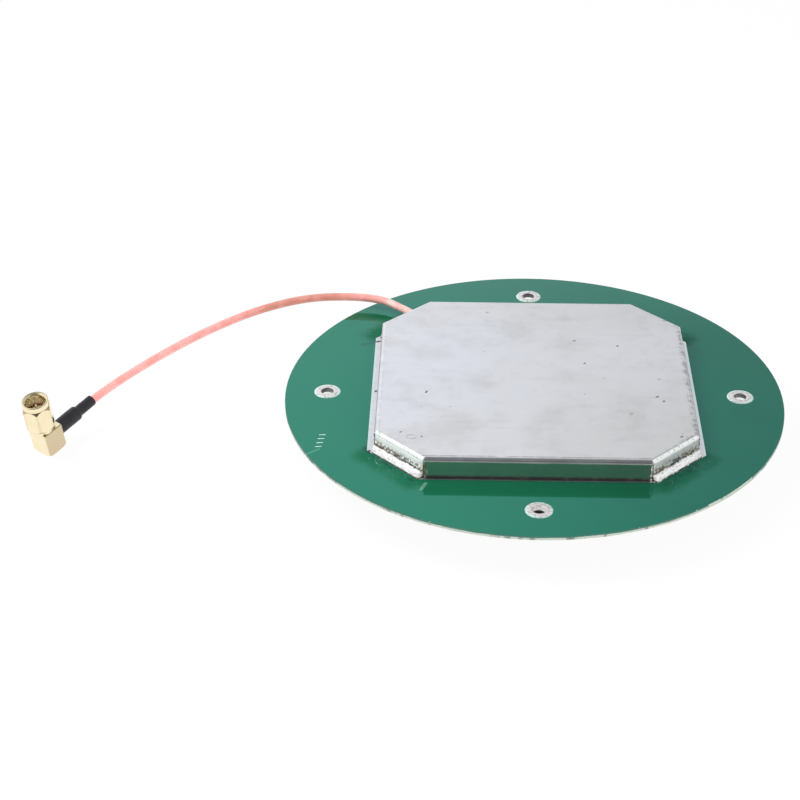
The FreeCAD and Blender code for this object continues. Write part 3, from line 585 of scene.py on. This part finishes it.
# Plain finishes: name, light and dark tone, roughness, then scale and metal where they aren't the usual ones
PLAIN_FINISHES = {
    "brass": ("plain brass", (0.80, 0.62, 0.34), (0.66, 0.49, 0.25), 0.25, 600.0, 1.0),
    "laminate": ("ivory laminate", (0.80, 0.76, 0.64), (0.74, 0.70, 0.57), 0.55, 900.0),
    "nylon": ("natural nylon", (0.82, 0.80, 0.72), (0.76, 0.74, 0.65), 0.35, 500.0),
    "coupler": ("coupler laminate", (0.020, 0.035, 0.030), (0.030, 0.045, 0.040), 0.35),
    "ceramic": ("pale ceramic", (0.62, 0.56, 0.44), (0.56, 0.50, 0.38), 0.4),
    "chip": ("moulded chip", (0.020, 0.020, 0.022), (0.028, 0.028, 0.030), 0.5),
    "ferrite": ("dark ferrite", (0.035, 0.035, 0.040), (0.050, 0.050, 0.052), 0.55),
    "passive": ("tan chip parts", (0.34, 0.24, 0.15), (0.28, 0.19, 0.12), 0.4),
    "wire": ("silvered wire", (0.86, 0.85, 0.82), (0.78, 0.76, 0.72), 0.25, 600.0, 1.0),
    "white": ("white fluoropolymer", (0.84, 0.84, 0.81), (0.78, 0.78, 0.75), 0.4),
    "red": ("red silicone", (0.36, 0.035, 0.020), (0.30, 0.028, 0.016), 0.5),
    "plain jacket": ("cable jacket end", (0.80, 0.42, 0.34), (0.74, 0.36, 0.28), 0.3),
    "ink": ("white legend ink", (0.62, 0.80, 0.72), (0.48, 0.70, 0.60), 0.5),
}

MATERIALS = {finish: plain_material(*values) for finish, values in PLAIN_FINISHES.items()}
MATERIALS.update({
    "mask": solder_mask_material(),
    "can": can_material(),
    "land": land_material(),
    "joint": joint_material(),
    "eyelet": eyelet_material(),
    "foil": foil_material(),
    "solder": solder_material(),
    "gold": gold_material(),
    "nut": nut_material(),
    "jacket": jacket_material(),
    "shrink": shrink_material(),
})

FINISHED_NODES = {
    "mask": ["ground_plane_board"],
    "can": ["shield_fence", "shield_lid"],
    "land": ["shield_land"],
    "foil": ["lower_patch_foil", "upper_patch_foil"],
    "solder": ["mounting_hole_plating", "corner_solder", "feed_solder_outer", "feed_solder_inner",
               "braid_solder"],
    "gold": ["plug_body", "plug_rear_cap", "plug_centre_pin", "coupling_nut", "crimp_ferrule"],
    "brass": ["feed_pins", "centre_screw", "centre_nut", "snap_ring"],
    "laminate": ["lower_patch_board", "upper_patch_board"],
    "nylon": ["patch_screws", "patch_screw_nuts"],
    "coupler": ["hybrid_couplers"],
    "ceramic": ["ceramic_filters"],
    "chip": ["amplifier_chips", "voltage_regulator"],
    "ferrite": ["bias_choke"],
    "passive": ["passive_chips"],
    "wire": ["tail_braid", "tail_conductor", "crimped_braid", "plug_conductor"],
    "white": ["tail_dielectric", "plug_insulator", "plug_dielectric"],
    "red": ["plug_gasket"],
    "plain jacket": ["tail_jacket", "pigtail_cable"],
    "shrink": ["heat_shrink"],
}

for finish, names in FINISHED_NODES.items():
    for name in names:
        own_materials = nodes[name].data.materials
        own_materials.clear()
        own_materials.append(MATERIALS[finish])


# Meshes

def put(name, data):
    made = bpy.data.objects.new(name, data)
    bpy.context.scene.collection.objects.link(made)
    return made


def mesh_object(name, points, faces, finish, smooth=True, body="antenna", outwards=True):
    # Points are in millimetres
    mesh = bpy.data.meshes.new(name)
    mesh.from_pydata([Vector(p) * MM for p in points], [], faces)
    mesh.materials.append(MATERIALS[finish])
    mesh.polygons.foreach_set("use_smooth", [smooth] * len(mesh.polygons))
    if outwards:
        work = bmesh.new()
        work.from_mesh(mesh)
        bmesh.ops.recalc_face_normals(work, faces=work.faces)
        work.to_mesh(mesh)
        work.free()
    made = put(name, mesh)
    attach(made, body)
    return made


class Pieces:
    """Points, faces and map values of one mesh that is put together from several shapes"""

    def __init__(self):
        self.points, self.faces, self.places = [], [], []

    def join(self, points, faces, places=()):
        base = len(self.points)
        self.points += points
        self.faces += [[base + i for i in face] for face in faces]
        self.places += places

    def made(self, name, finish, map_name=None, **settings):
        thing = mesh_object(name, self.points, self.faces, finish, **settings)
        if map_name:
            layer = thing.data.uv_layers.new(name=map_name)
            for loop in thing.data.loops:
                layer.data[loop.index].uv = self.places[loop.vertex_index]
        return thing


def strip_faces(rows, columns, close_rows=False, close_columns=False):
    faces = []
    for row in range(rows if close_rows else rows - 1):
        for column in range(columns if close_columns else columns - 1):
            after, beside = (row + 1) % rows, (column + 1) % columns
            faces.append((row * columns + column, row * columns + beside,
                          after * columns + beside, after * columns + column))
    return faces


def turns(sides):
    return [2 * math.pi * side / sides for side in range(sides)]


def wobble(x, y, z, scale):
    return noise.noise(Vector((x, y, z)) * scale)


# The pigtail: its route repeats the CAD part's points
CORD_ROUTE = [
    (-36.212, 42.788, 17.8), (-41.232, 47.808, 17.8), (-47.612, 52.888, 18.2), (-58.512, 54.288, 18.4),
    (-72.012, 53.488, 18.1), (-86.512, 47.388, 17.2), (-101.012, 37.188, 15.6), (-113.912, 25.788, 13.6),
    (-126.312, 12.788, 11.3), (-134.912, 2.288, 9.2), (-139.012, -3.212, 7.8),
]


def route_line(name, points, resolution):
    curve = bpy.data.curves.new(name, "CURVE")
    curve.dimensions = "3D"
    curve.resolution_u = resolution
    spline = curve.splines.new("NURBS")
    spline.points.add(len(points) - 1)
    for target, (x, y, z) in zip(spline.points, points):
        target.co = (x, y, z, 1)
    spline.order_u = 3
    spline.use_endpoint_u = True
    holder = put(name, curve)
    bpy.context.view_layer.update()
    line = bpy.data.meshes.new_from_object(holder)
    spots = [vertex.co.copy() for vertex in line.vertices]
    bpy.data.objects.remove(holder)
    bpy.data.meshes.remove(line)
    return spots


def tube_mesh(name, line, radius, sides, finish):
    # Round tube along a line, with a map of its length and its girth
    tangents = [(line[min(i + 1, len(line) - 1)] - line[max(i - 1, 0)]).normalized()
                for i in range(len(line))]
    side = tangents[0].orthogonal().normalized()
    points, places, run = [], [], 0.0
    for index, (spot, tangent) in enumerate(zip(line, tangents)):
        if index:
            run += (spot - line[index - 1]).length
        side = (side - tangent * side.dot(tangent)).normalized()
        other = tangent.cross(side)
        for step, angle in enumerate(turns(sides)):
            points.append(spot + side * (radius * math.cos(angle)) + other * (radius * math.sin(angle)))
            places.append((run * MM, step / sides))
    faces = strip_faces(len(line), sides, close_columns=True)
    first, last, tail = len(points), len(points) + 1, (len(line) - 1) * sides
    points += [line[0], line[-1]]
    places += [(0, 0), (run * MM, 0)]
    faces += [(first, (s + 1) % sides, s) for s in range(sides)]
    faces += [(last, tail + s, tail + (s + 1) % sides) for s in range(sides)]
    made = mesh_object(name, points, faces, finish)
    layer = made.data.uv_layers.new(name="cable")
    for polygon in made.data.polygons:
        corners = [made.data.loops[i].vertex_index for i in polygon.loop_indices]
        wraps = any(c < first and c % sides == sides - 1 for c in corners)
        for loop_index, corner in zip(polygon.loop_indices, corners):
            length, turn = places[corner]
            if wraps and corner < first and corner % sides == 0:
                turn = 1.0
            layer.data[loop_index].uv = (length, turn)
    return made


cable_line = route_line("cable route", CORD_ROUTE, 24)
cable = tube_mesh("pigtail_jacket", cable_line, CABLE_RADIUS, 32, "jacket")
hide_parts("pigtail_cable")


# Plug: threaded coupling nut and shrunk sleeve

def plug_point(x, y, z):
    return PLUG_CENTRE + PLUG_X * x + PLUG_Y * y + PLUG_Z * z


NUT_WIDTH = 8.0
NUT_FOOT = 5.5
NUT_HEX_TOP = 13.6
NUT_MOUTH = 15.5
NUT_CHAMFER = 1.0
NUT_BORE = 2.95
NUT_REAR_BORE = 2.80
THREAD_PITCH = 0.7056
THREAD_DEPTH = 0.04
THREAD_LENGTH = 7.0
THREAD_STEPS = 80
GROOVE_RADIUS = 3.30


# Each ring of the nut gives for an angle: radius, height, painted shade with some tarnish, and depth of the
# bore's painted deeper colour

def hex_ring(z):
    # Hexagon, cut back by the chamfer cone at both of its ends
    flat, corner = NUT_WIDTH / 2, NUT_WIDTH / math.sqrt(3)
    cone = flat - 0.02 + (corner - flat) * min(z - NUT_FOOT, NUT_HEX_TOP - z) / NUT_CHAMFER

    def ring(angle):
        step = math.pi / 3
        side = min(flat / math.cos((angle - NUT_TURN) % step - step / 2), corner - 0.05)
        # Painted dark reflection, with some tarnish, on the chamfers and at the corners of the hexagon
        shade_and_stain = 0.9 if cone < side else (0.25 if side > corner - 0.16 else 0.0)
        return min(side, cone), z, shade_and_stain, 0.0
    return ring


def thread_ring(z):
    # Thread of the bore: it climbs one pitch in a turn, runs out at the groove and opens to a lead-in
    lead_in = NUT_BORE + max(0.0, z - (NUT_MOUTH - 0.6))
    run_out = min(1.0, (z - 8.3) / 0.5)
    deep_side = math.radians(126)

    def ring(angle):
        wave = 0.5 + 0.5 * math.cos(2 * math.pi * z / THREAD_PITCH - angle)
        radius = max(NUT_BORE + THREAD_DEPTH * wave * run_out, lead_in)
        # The deep colour, painted shade, reaches the mouth on one side and starts further down on the other
        side = 0.6 + 0.4 * math.cos(angle - deep_side)
        return radius, z, 0.15 * wave, side * max(0.0, min(1.0, (NUT_MOUTH - 0.7 - z) / 3.0))
    return ring


def plain_ring(radius, z, shade_and_stain, inside=0.0):
    return lambda angle: (radius, z, shade_and_stain, inside)


def lip_ring(radius, z, most_shade):
    # Mouth of the nut: painted shade, with some tarnish, on one side only
    shaded_side = math.radians(30)
    return lambda angle: (radius, z, most_shade * max(0.0, math.cos(angle - shaded_side)) ** 3, 0.0)


def coupling_nut():
    levels = [NUT_FOOT + 0.07 * i for i in range(16)] + [NUT_FOOT + 1.3 + 0.7 * i for i in range(8)]
    levels += [NUT_HEX_TOP - 0.07 * i for i in range(15, -1, -1)]
    rings = [hex_ring(z) for z in levels]
    # The groove under the collar is painted dark as shade
    rings += [plain_ring(*values) for values in (
        (3.98, 13.62, 1.0), (3.97, 13.72, 0.7), (4.05, 13.80, 0.1), (4.05, 14.5, 0.0), (4.05, 15.22, 0.0))]
    rings += [lip_ring(*values) for values in (
        (4.02, 15.33, 0.3), (3.95, 15.42, 0.7), (3.85, 15.49, 1.0), (3.80, 15.50, 1.0),
        (3.62, 15.50, 1.0), (3.55, 15.46, 1.0))]
    rings += [thread_ring(15.40 - THREAD_LENGTH * i / THREAD_STEPS) for i in range(THREAD_STEPS + 1)]
    # Painted shade deep in the bore
    rings += [plain_ring(radius, z, 0.5, 1.0) for radius, z in (
        (GROOVE_RADIUS, 8.29), (GROOVE_RADIUS, 7.11), (NUT_REAR_BORE, 7.10), (NUT_REAR_BORE, 6.2),
        (NUT_REAR_BORE, NUT_FOOT))]
    sides = 144
    points, shade_and_tarnish, depth = [], [], []
    for ring in rings:
        for step in range(sides):
            angle = NUT_TURN + 2 * math.pi * (step + 0.5) / sides
            radius, z, shade_and_stain, inside = ring(angle)
            points.append(plug_point(radius * math.cos(angle), radius * math.sin(angle), z))
            shade_and_tarnish.append(shade_and_stain)
            depth.append(inside)
    faces = strip_faces(len(rings), sides, close_rows=True, close_columns=True)
    made = mesh_object("threaded_coupling_nut", points, faces, "nut", body="coupling_nut")
    for name, values in (("shade_and_tarnish", shade_and_tarnish), ("depth", depth)):
        made.data.attributes.new(name, "FLOAT", "POINT").data.foreach_set("value", values)
    # Sharp outside, soft along the thread
    made.data.set_sharp_from_angle(angle=math.radians(28))
    for edge in made.data.edges:
        if min(depth[edge.vertices[0]], depth[edge.vertices[1]]) > 0:
            edge.use_edge_sharp = False
    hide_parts("coupling_nut")


def shrink_sleeve():
    # Sleeve shrunk over the ferrule: soft shoulders, faint rings and a cut end
    outer = [(4.70, 2.20), (4.76, 2.29), (5.2, 2.32)]
    outer += [(5.2 + 0.4 * i, 2.31) for i in range(1, 20)]
    outer += [(13.25, 2.31), (13.45, 2.28), (13.7, 2.16), (13.95, 1.98), (14.2, 1.83), (14.4, 1.75),
              (14.7, 1.72)]
    outer += [(14.7 + 0.4 * i, 1.71) for i in range(1, 14)]
    outer += [(20.22, 1.71), (20.31, 1.66), (20.33, 1.58), (20.33, 1.38), (20.25, 1.35)]
    inner = [(14.4, 1.35), (13.40, 2.02), (4.70, 2.03)]
    sides = 64
    points = []
    for x, radius in outer + inner:
        uneven = (x, radius) not in inner and radius > 1.6 and 4.8 < x < 20.2
        for angle in turns(sides):
            y, z = math.cos(angle), math.sin(angle)
            shift = 0.0
            if uneven:
                shift = 0.05 * wobble(x, y * 1.5, z * 1.5, 0.55) + 0.02 * wobble(x, y * 3, z * 3, 1.6) - 0.01
            points.append(plug_point(x, (radius + shift) * y, (radius + shift) * z))
    faces = strip_faces(len(outer + inner), sides, close_rows=True, close_columns=True)
    made = mesh_object("shrunk_sleeve", points, faces, "shrink")
    made.data.set_sharp_from_angle(angle=math.radians(60))
    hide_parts("heat_shrink")


coupling_nut()
shrink_sleeve()


# Hand-soldered corners of the can

def corner_point(angle, along, out, level):
    a = math.radians(angle)
    distance = FLAP_DISTANCE + out
    return Vector((distance * math.cos(a) - along * math.sin(a),
                   distance * math.sin(a) + along * math.cos(a), level))


def joint_spot(share, along, seed):
    # Offset from the flap and height: down the flap, then over the fillet to the rim of the land
    rough = wobble(along * 0.9, share * 5, seed, 1.0)
    fine = wobble(along * 3.1, share * 14, seed + 7, 1.0)
    if share < 0.5:
        step = share / 0.5
        level = JOINT_TOP + (FLAP_FOOT - 0.05 - JOINT_TOP) * step
        out = 0.05 + 0.34 * step ** 2 + 0.10 * rough * step + 0.04 * fine
        return max(out, 0.02), level
    step = (share - 0.5) / 0.5
    crease = math.exp(-((step - 0.03) / 0.045) ** 2)
    bulge = math.sin(math.pi * step)
    out = 0.20 + (LAND_REACH - 0.30) * step + 0.22 * bulge - 0.16 * crease
    out += (0.12 * rough + 0.05 * fine) * bulge
    level = FLAP_FOOT - 0.1 + (LAND_TOP - FLAP_FOOT + 0.12) * step + 0.30 * bulge
    level += (0.10 * rough + 0.05 * fine) * bulge
    return min(out, LAND_REACH - 0.02), max(level, LAND_TOP)


def corner_joint(angle, start, end, seed):
    rows = 44
    columns = max(8, int((end - start) / 0.16))
    stations = [start + (end - start) * column / columns for column in range(columns + 1)]
    points, places = [], []
    for row in range(rows + 1):
        share = row / rows
        for along in stations:
            out, level = joint_spot(share, along, seed)
            if share > 0.5:
                out *= 1 - 0.25 * math.exp(-min(along - start, end - along) / 0.35)
            points.append(corner_point(angle, along, out, level))
            places.append((along * MM, share))
    # Back of the joint, against the sheet and on the land
    for level, share in ((LAND_TOP, 1.0), (JOINT_TOP, 0.0)):
        points += [corner_point(angle, along, -0.06, level) for along in stations]
        places += [(along * MM, share) for along in stations]
    total = rows + 3
    faces = strip_faces(total, columns + 1, close_rows=True)
    faces += [[row * (columns + 1) + column for row in range(total)] for column in (0, columns)]
    return points, faces, places


def corner_joints():
    pieces = Pieces()
    half = FLAP_HALF_LENGTH - 0.45
    limit = CAN_HALF + LAND_FRONT_REACH
    for seed, angle in enumerate(CORNERS):
        spans = [(-half, half)]
        if angle == CABLE_ANGLE:
            spans = [(-half, CABLE_SHIFT - CABLE_ROOM), (CABLE_SHIFT + CABLE_ROOM, half)]
        for start, end in spans:
            points, faces, places = corner_joint(angle, start, end, 3.7 * seed + 1.3)
            # The land is narrow at the front and the back, so the joint stops there too
            points = [Vector((p.x, max(-limit, min(limit, p.y)), p.z)) for p in points]
            pieces.join(points, faces, places)
    made = pieces.made("hand_soldered_corners", "joint", "joint")
    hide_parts("corner_solder")


def seam_solder():
    # Rough solder run into the eight upright seams between the walls and the corner flaps
    pieces = Pieces()
    rng = random.Random(11)
    rows, sides, top = 26, 12, 20.0
    for angle in CORNERS:
        for sign in (-1, 1):
            points, places = [], []
            for row in range(rows + 1):
                step = row / rows
                level = LAND_TOP + (top - LAND_TOP) * step
                spread = 0.34 + 0.16 * wobble(level, angle * 0.1 + sign, 3, 1.4) + 0.3 * max(0, 0.25 - step)
                shift = 0.10 * wobble(level, angle * 0.06 + sign * 3, 8, 1.1)
                for turn in turns(sides):
                    along = sign * (FLAP_HALF_LENGTH - 0.02 + shift) + spread * math.cos(turn)
                    points.append(corner_point(angle, along, -0.30 + spread * 0.9 * math.sin(turn), level))
                    places.append((level * MM, 0.5 + 0.05 * rng.random()))
            ends = [range(sides), range(rows * sides, (rows + 1) * sides)]
            pieces.join(points, strip_faces(rows + 1, sides, close_columns=True) + ends, places)
    made = pieces.made("seam_solder", "joint", "joint")


corner_joints()
seam_solder()


# Solder-coated eyelets

def eyelets():
    # Radius and height, over the board and back under it
    profile = [(1.80, 14.2), (1.80, 14.75), (1.86, 14.92), (2.00, 15.02), (2.2, 15.06), (2.5, 15.07),
               (2.8, 15.04), (3.05, 14.99), (3.25, 14.98), (3.5, 14.99), (3.75, 14.95), (3.92, 14.88),
               (4.0, BOARD_TOP)]
    under = [(4.0, 0.0), (3.9, -0.07), (3.2, -0.12), (2.4, -0.15), (1.95, -0.10), (1.80, 0.0)]
    rings = profile + [(radius, BOARD_BOTTOM + drop) for radius, drop in under]
    sides = 56
    pieces = Pieces()
    for index in range(4):
        turned = index * math.pi / 2
        x0, y0 = HOLE_CIRCLE * math.cos(turned), HOLE_CIRCLE * math.sin(turned)
        points, places = [], []
        for row, (radius, level) in enumerate(rings):
            for side, turn in enumerate(turns(sides)):
                lump = 0.05 * wobble(radius * math.cos(turn), radius * math.sin(turn), index * 7 + 2, 1.3)
                r = radius + (lump if 1 < row < len(profile) - 1 else 0)
                z = level + (lump if 1 < row < len(profile) - 2 else 0)
                points.append((x0 + r * math.cos(turn), y0 + r * math.sin(turn), z))
                places.append((side / sides, radius))
        pieces.join(points, strip_faces(len(rings), sides, close_rows=True, close_columns=True), places)
    made = pieces.made("solder_coated_eyelets", "eyelet", "ring")
    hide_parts("mounting_hole_plating")


eyelets()


# Four plain tick bars of legend ink beside the can

def legend_ticks():
    pieces = Pieces()
    half_length, half_width, height, slant = 0.95, 0.16, 0.02, 0.12
    corners = [(sx * half_length, sy * half_width) for sx, sy in ((-1, -1), (1, -1), (1, 1), (-1, 1))]
    for index in range(4):
        x, y = -62.3 - 0.28 * index, -24.7 - 2.15 * index
        points = [(x + dx, y + dy + slant * dx, z)
                  for z in (BOARD_TOP, BOARD_TOP + height) for dx, dy in corners]
        pieces.join(points, [
            (3, 2, 1, 0), (4, 5, 6, 7), (0, 1, 5, 4), (1, 2, 6, 5), (2, 3, 7, 6), (3, 0, 4, 7)])
    made = pieces.made("legend_ticks", "ink", smooth=False)


legend_ticks()


# Solder beads scattered beside the soldered corners

def scatter_tree(values):
    tree = bpy.data.node_groups.new("bead scatter", "GeometryNodeTree")
    tree.interface.new_socket("Geometry", in_out="INPUT", socket_type="NodeSocketGeometry")
    for label, value in values.items():
        kind = "NodeSocketInt" if isinstance(value, int) else "NodeSocketFloat"
        tree.interface.new_socket(label, in_out="INPUT", socket_type=kind)
    tree.interface.new_socket("Geometry", in_out="OUTPUT", socket_type="NodeSocketGeometry")
    start = tree.nodes.new("NodeGroupInput")
    end = tree.nodes.new("NodeGroupOutput")
    area, density, smallest, largest, seed = [Field(socket) for socket in list(start.outputs)[:5]]
    spots = add(tree, "GeometryNodeDistributePointsOnFaces", {"Mesh": area, "Density": density, "Seed": seed})
    bead = add(tree, "GeometryNodeMeshIcoSphere", {"Radius": 1.0, "Subdivisions": 2})
    size = result(add(tree, "FunctionNodeRandomValue", {2: smallest, 3: largest, "Seed": seed},
                      data_type="FLOAT"), 1)
    shape = add(tree, "ShaderNodeCombineXYZ", {"X": size, "Y": size, "Z": size * 0.45})
    copies = add(tree, "GeometryNodeInstanceOnPoints", {
        "Points": result(spots, "Points"), "Instance": result(bead, "Mesh"), "Scale": result(shape)})
    real = add(tree, "GeometryNodeRealizeInstances", {"Geometry": result(copies)})
    dressed = add(tree, "GeometryNodeSetMaterial", {
        "Geometry": result(real), "Material": MATERIALS["solder"]})
    plug(result(dressed), end.inputs[0])
    return tree


def solder_beads():
    # Narrow areas of the board beside the four corner joints
    pieces = Pieces()
    for angle in CORNERS:
        pieces.join([corner_point(angle, along, LAND_REACH + out, BOARD_TOP)
                     for along, out in ((-9.0, 0.2), (9.0, 0.2), (7.0, 2.6), (-7.0, 2.6))], [range(4)])
    area = pieces.made("bead area", "solder", outwards=False)
    # Density in beads for each square metre, sizes in metres
    values = {"Density": 260000.0, "Smallest": 0.00004, "Largest": 0.00013, "Seed": 5}
    modifier = area.modifiers.new("beads", "NODES")
    modifier.node_group = scatter_tree(values)
    for item in modifier.node_group.interface.items_tree:
        if item.in_out == "INPUT" and item.name in values:
            modifier[item.identifier] = values[item.name]
    bpy.context.view_layer.update()
    mesh = bpy.data.meshes.new_from_object(area.evaluated_get(bpy.context.evaluated_depsgraph_get()))
    bpy.data.objects.remove(area)
    mesh.polygons.foreach_set("use_smooth", [True] * len(mesh.polygons))
    made = put("solder_beads", mesh)
    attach(made, "antenna")


solder_beads()


# Floor, backdrop and light

def ray_kinds(tree):
    # Rays straight from the camera, and rays by way of a mirror or glass
    path = add(tree, "ShaderNodeLightPath")
    seen, glossy, through = [result(path, f"Is {kind} Ray") for kind in ("Camera", "Glossy", "Transmission")]
    return seen, most(glossy, through)


def studio_floor():
    mesh = bpy.data.meshes.new("floor")
    half = 6.0
    corners = [(-half, -half, 0), (half, -half, 0), (half, half, 0), (-half, half, 0)]
    mesh.from_pydata(corners, [], [(0, 1, 2, 3)])
    floor = put("floor", mesh)
    made = bpy.data.materials.new("white floor")
    tree = empty_tree(made)
    outcome = add(tree, "ShaderNodeOutputMaterial")
    point = object_point(tree)
    seen, mirrored = ray_kinds(tree)
    # Away from the board the paper glows white; the covered part lies behind the board as the camera sees it
    centred = vector_calc("LENGTH", point)
    behind = vector_calc("DISTANCE", point, (0, 0.0236, 0))
    covered = ramp(behind, 76 * MM, 66 * MM) * ramp(centred, 76 * MM, 58 * MM)
    share = most(seen * ramp(covered, 0.0, 1.0, 0.95, 0.0, False),
                 mirrored * ramp(covered, 0.0, 1.0, 0.95, 0.45, False))
    # Painted shadow: for camera rays the paper under the board is painted dark, deepest in the middle
    shade = seen * ramp(centred, 68 * MM, 40 * MM)
    paper = add(tree, "ShaderNodeBsdfDiffuse", {"Color": mix(shade, (0.88, 0.88, 0.88), (0.07, 0.07, 0.07))})
    glow = add(tree, "ShaderNodeEmission", {"Color": (1, 1, 1), "Strength": 1.0})
    blend = add(tree, "ShaderNodeMixShader", {0: share, 1: result(paper), 2: result(glow)})
    # From below the camera looks through the paper, so that the underside can be seen
    below = result(add(tree, "ShaderNodeNewGeometry"), "Backfacing") * seen
    clear = add(tree, "ShaderNodeBsdfTransparent")
    whole = add(tree, "ShaderNodeMixShader", {0: below, 1: result(blend), 2: result(clear)})
    plug(result(whole), outcome.inputs[0])
    mesh.materials.append(made)


def studio_world():
    # White all round; in reflections a softer right side, a dim ceiling and a dim room behind the camera
    world = bpy.data.worlds.new("studio")
    bpy.context.scene.world = world
    tree = empty_tree(world)
    outcome = add(tree, "ShaderNodeOutputWorld")
    seen, mirrored = ray_kinds(tree)
    x, y, z = separate(result(add(tree, "ShaderNodeTexCoord"), "Generated"))
    to_right = ramp(x, -0.12, 0.24, 1.0, 0.60)
    ceiling = ramp(z, 0.74, 0.93, 1.0, 0.30)
    to_front = ramp(y, -0.45, -0.80, 1.0, 0.22)
    room = to_right * ceiling * to_front * mirrored
    spread = (1.0 - most(seen, mirrored)) * 0.62
    colour = mix(mirrored, (1, 1, 1), (0.95, 0.98, 1.03))
    sky = add(tree, "ShaderNodeBackground", {"Color": colour, "Strength": room + seen + spread})
    plug(result(sky), outcome.inputs[0])


def lamp(name, spot, target, size, power):
    # The lamps only light the object: in reflections it sees the white room, as in a light tent
    data = bpy.data.lights.new(name, "AREA")
    data.shape = "DISK"
    data.size = size
    data.energy = power
    light = put(name, data)
    light.location = spot
    light.rotation_euler = (Vector(target) - Vector(spot)).to_track_quat("-Z", "Y").to_euler()
    light.visible_glossy = False


def camera():
    # Place and lens were fitted to the board's outline, its holes and the can in the photo
    data = bpy.data.cameras.new("camera")
    data.lens = 92.379
    data.sensor_width = 36.0
    data.clip_start = 0.01
    view = put("camera", data)
    view.location = (-0.023742, -0.533211, 0.334294)
    view.rotation_euler = [math.radians(v) for v in (58.8721, 0.1133, 1.7116)]
    bpy.context.scene.camera = view


studio_floor()
studio_world()
lamp("key lamp", (-0.48, -0.04, 0.62), (0, 0, 0.02), 0.5, 4.6)
lamp("front lamp", (0.36, -0.85, 0.14), (0.02, -0.04, 0.02), 0.3, 3.8)
lamp("fill lamp", (0.62, -0.50, 0.85), (0, 0, 0.02), 0.7, 1.9)
camera()
bpy.context.scene.view_settings.view_transform = "Standard"
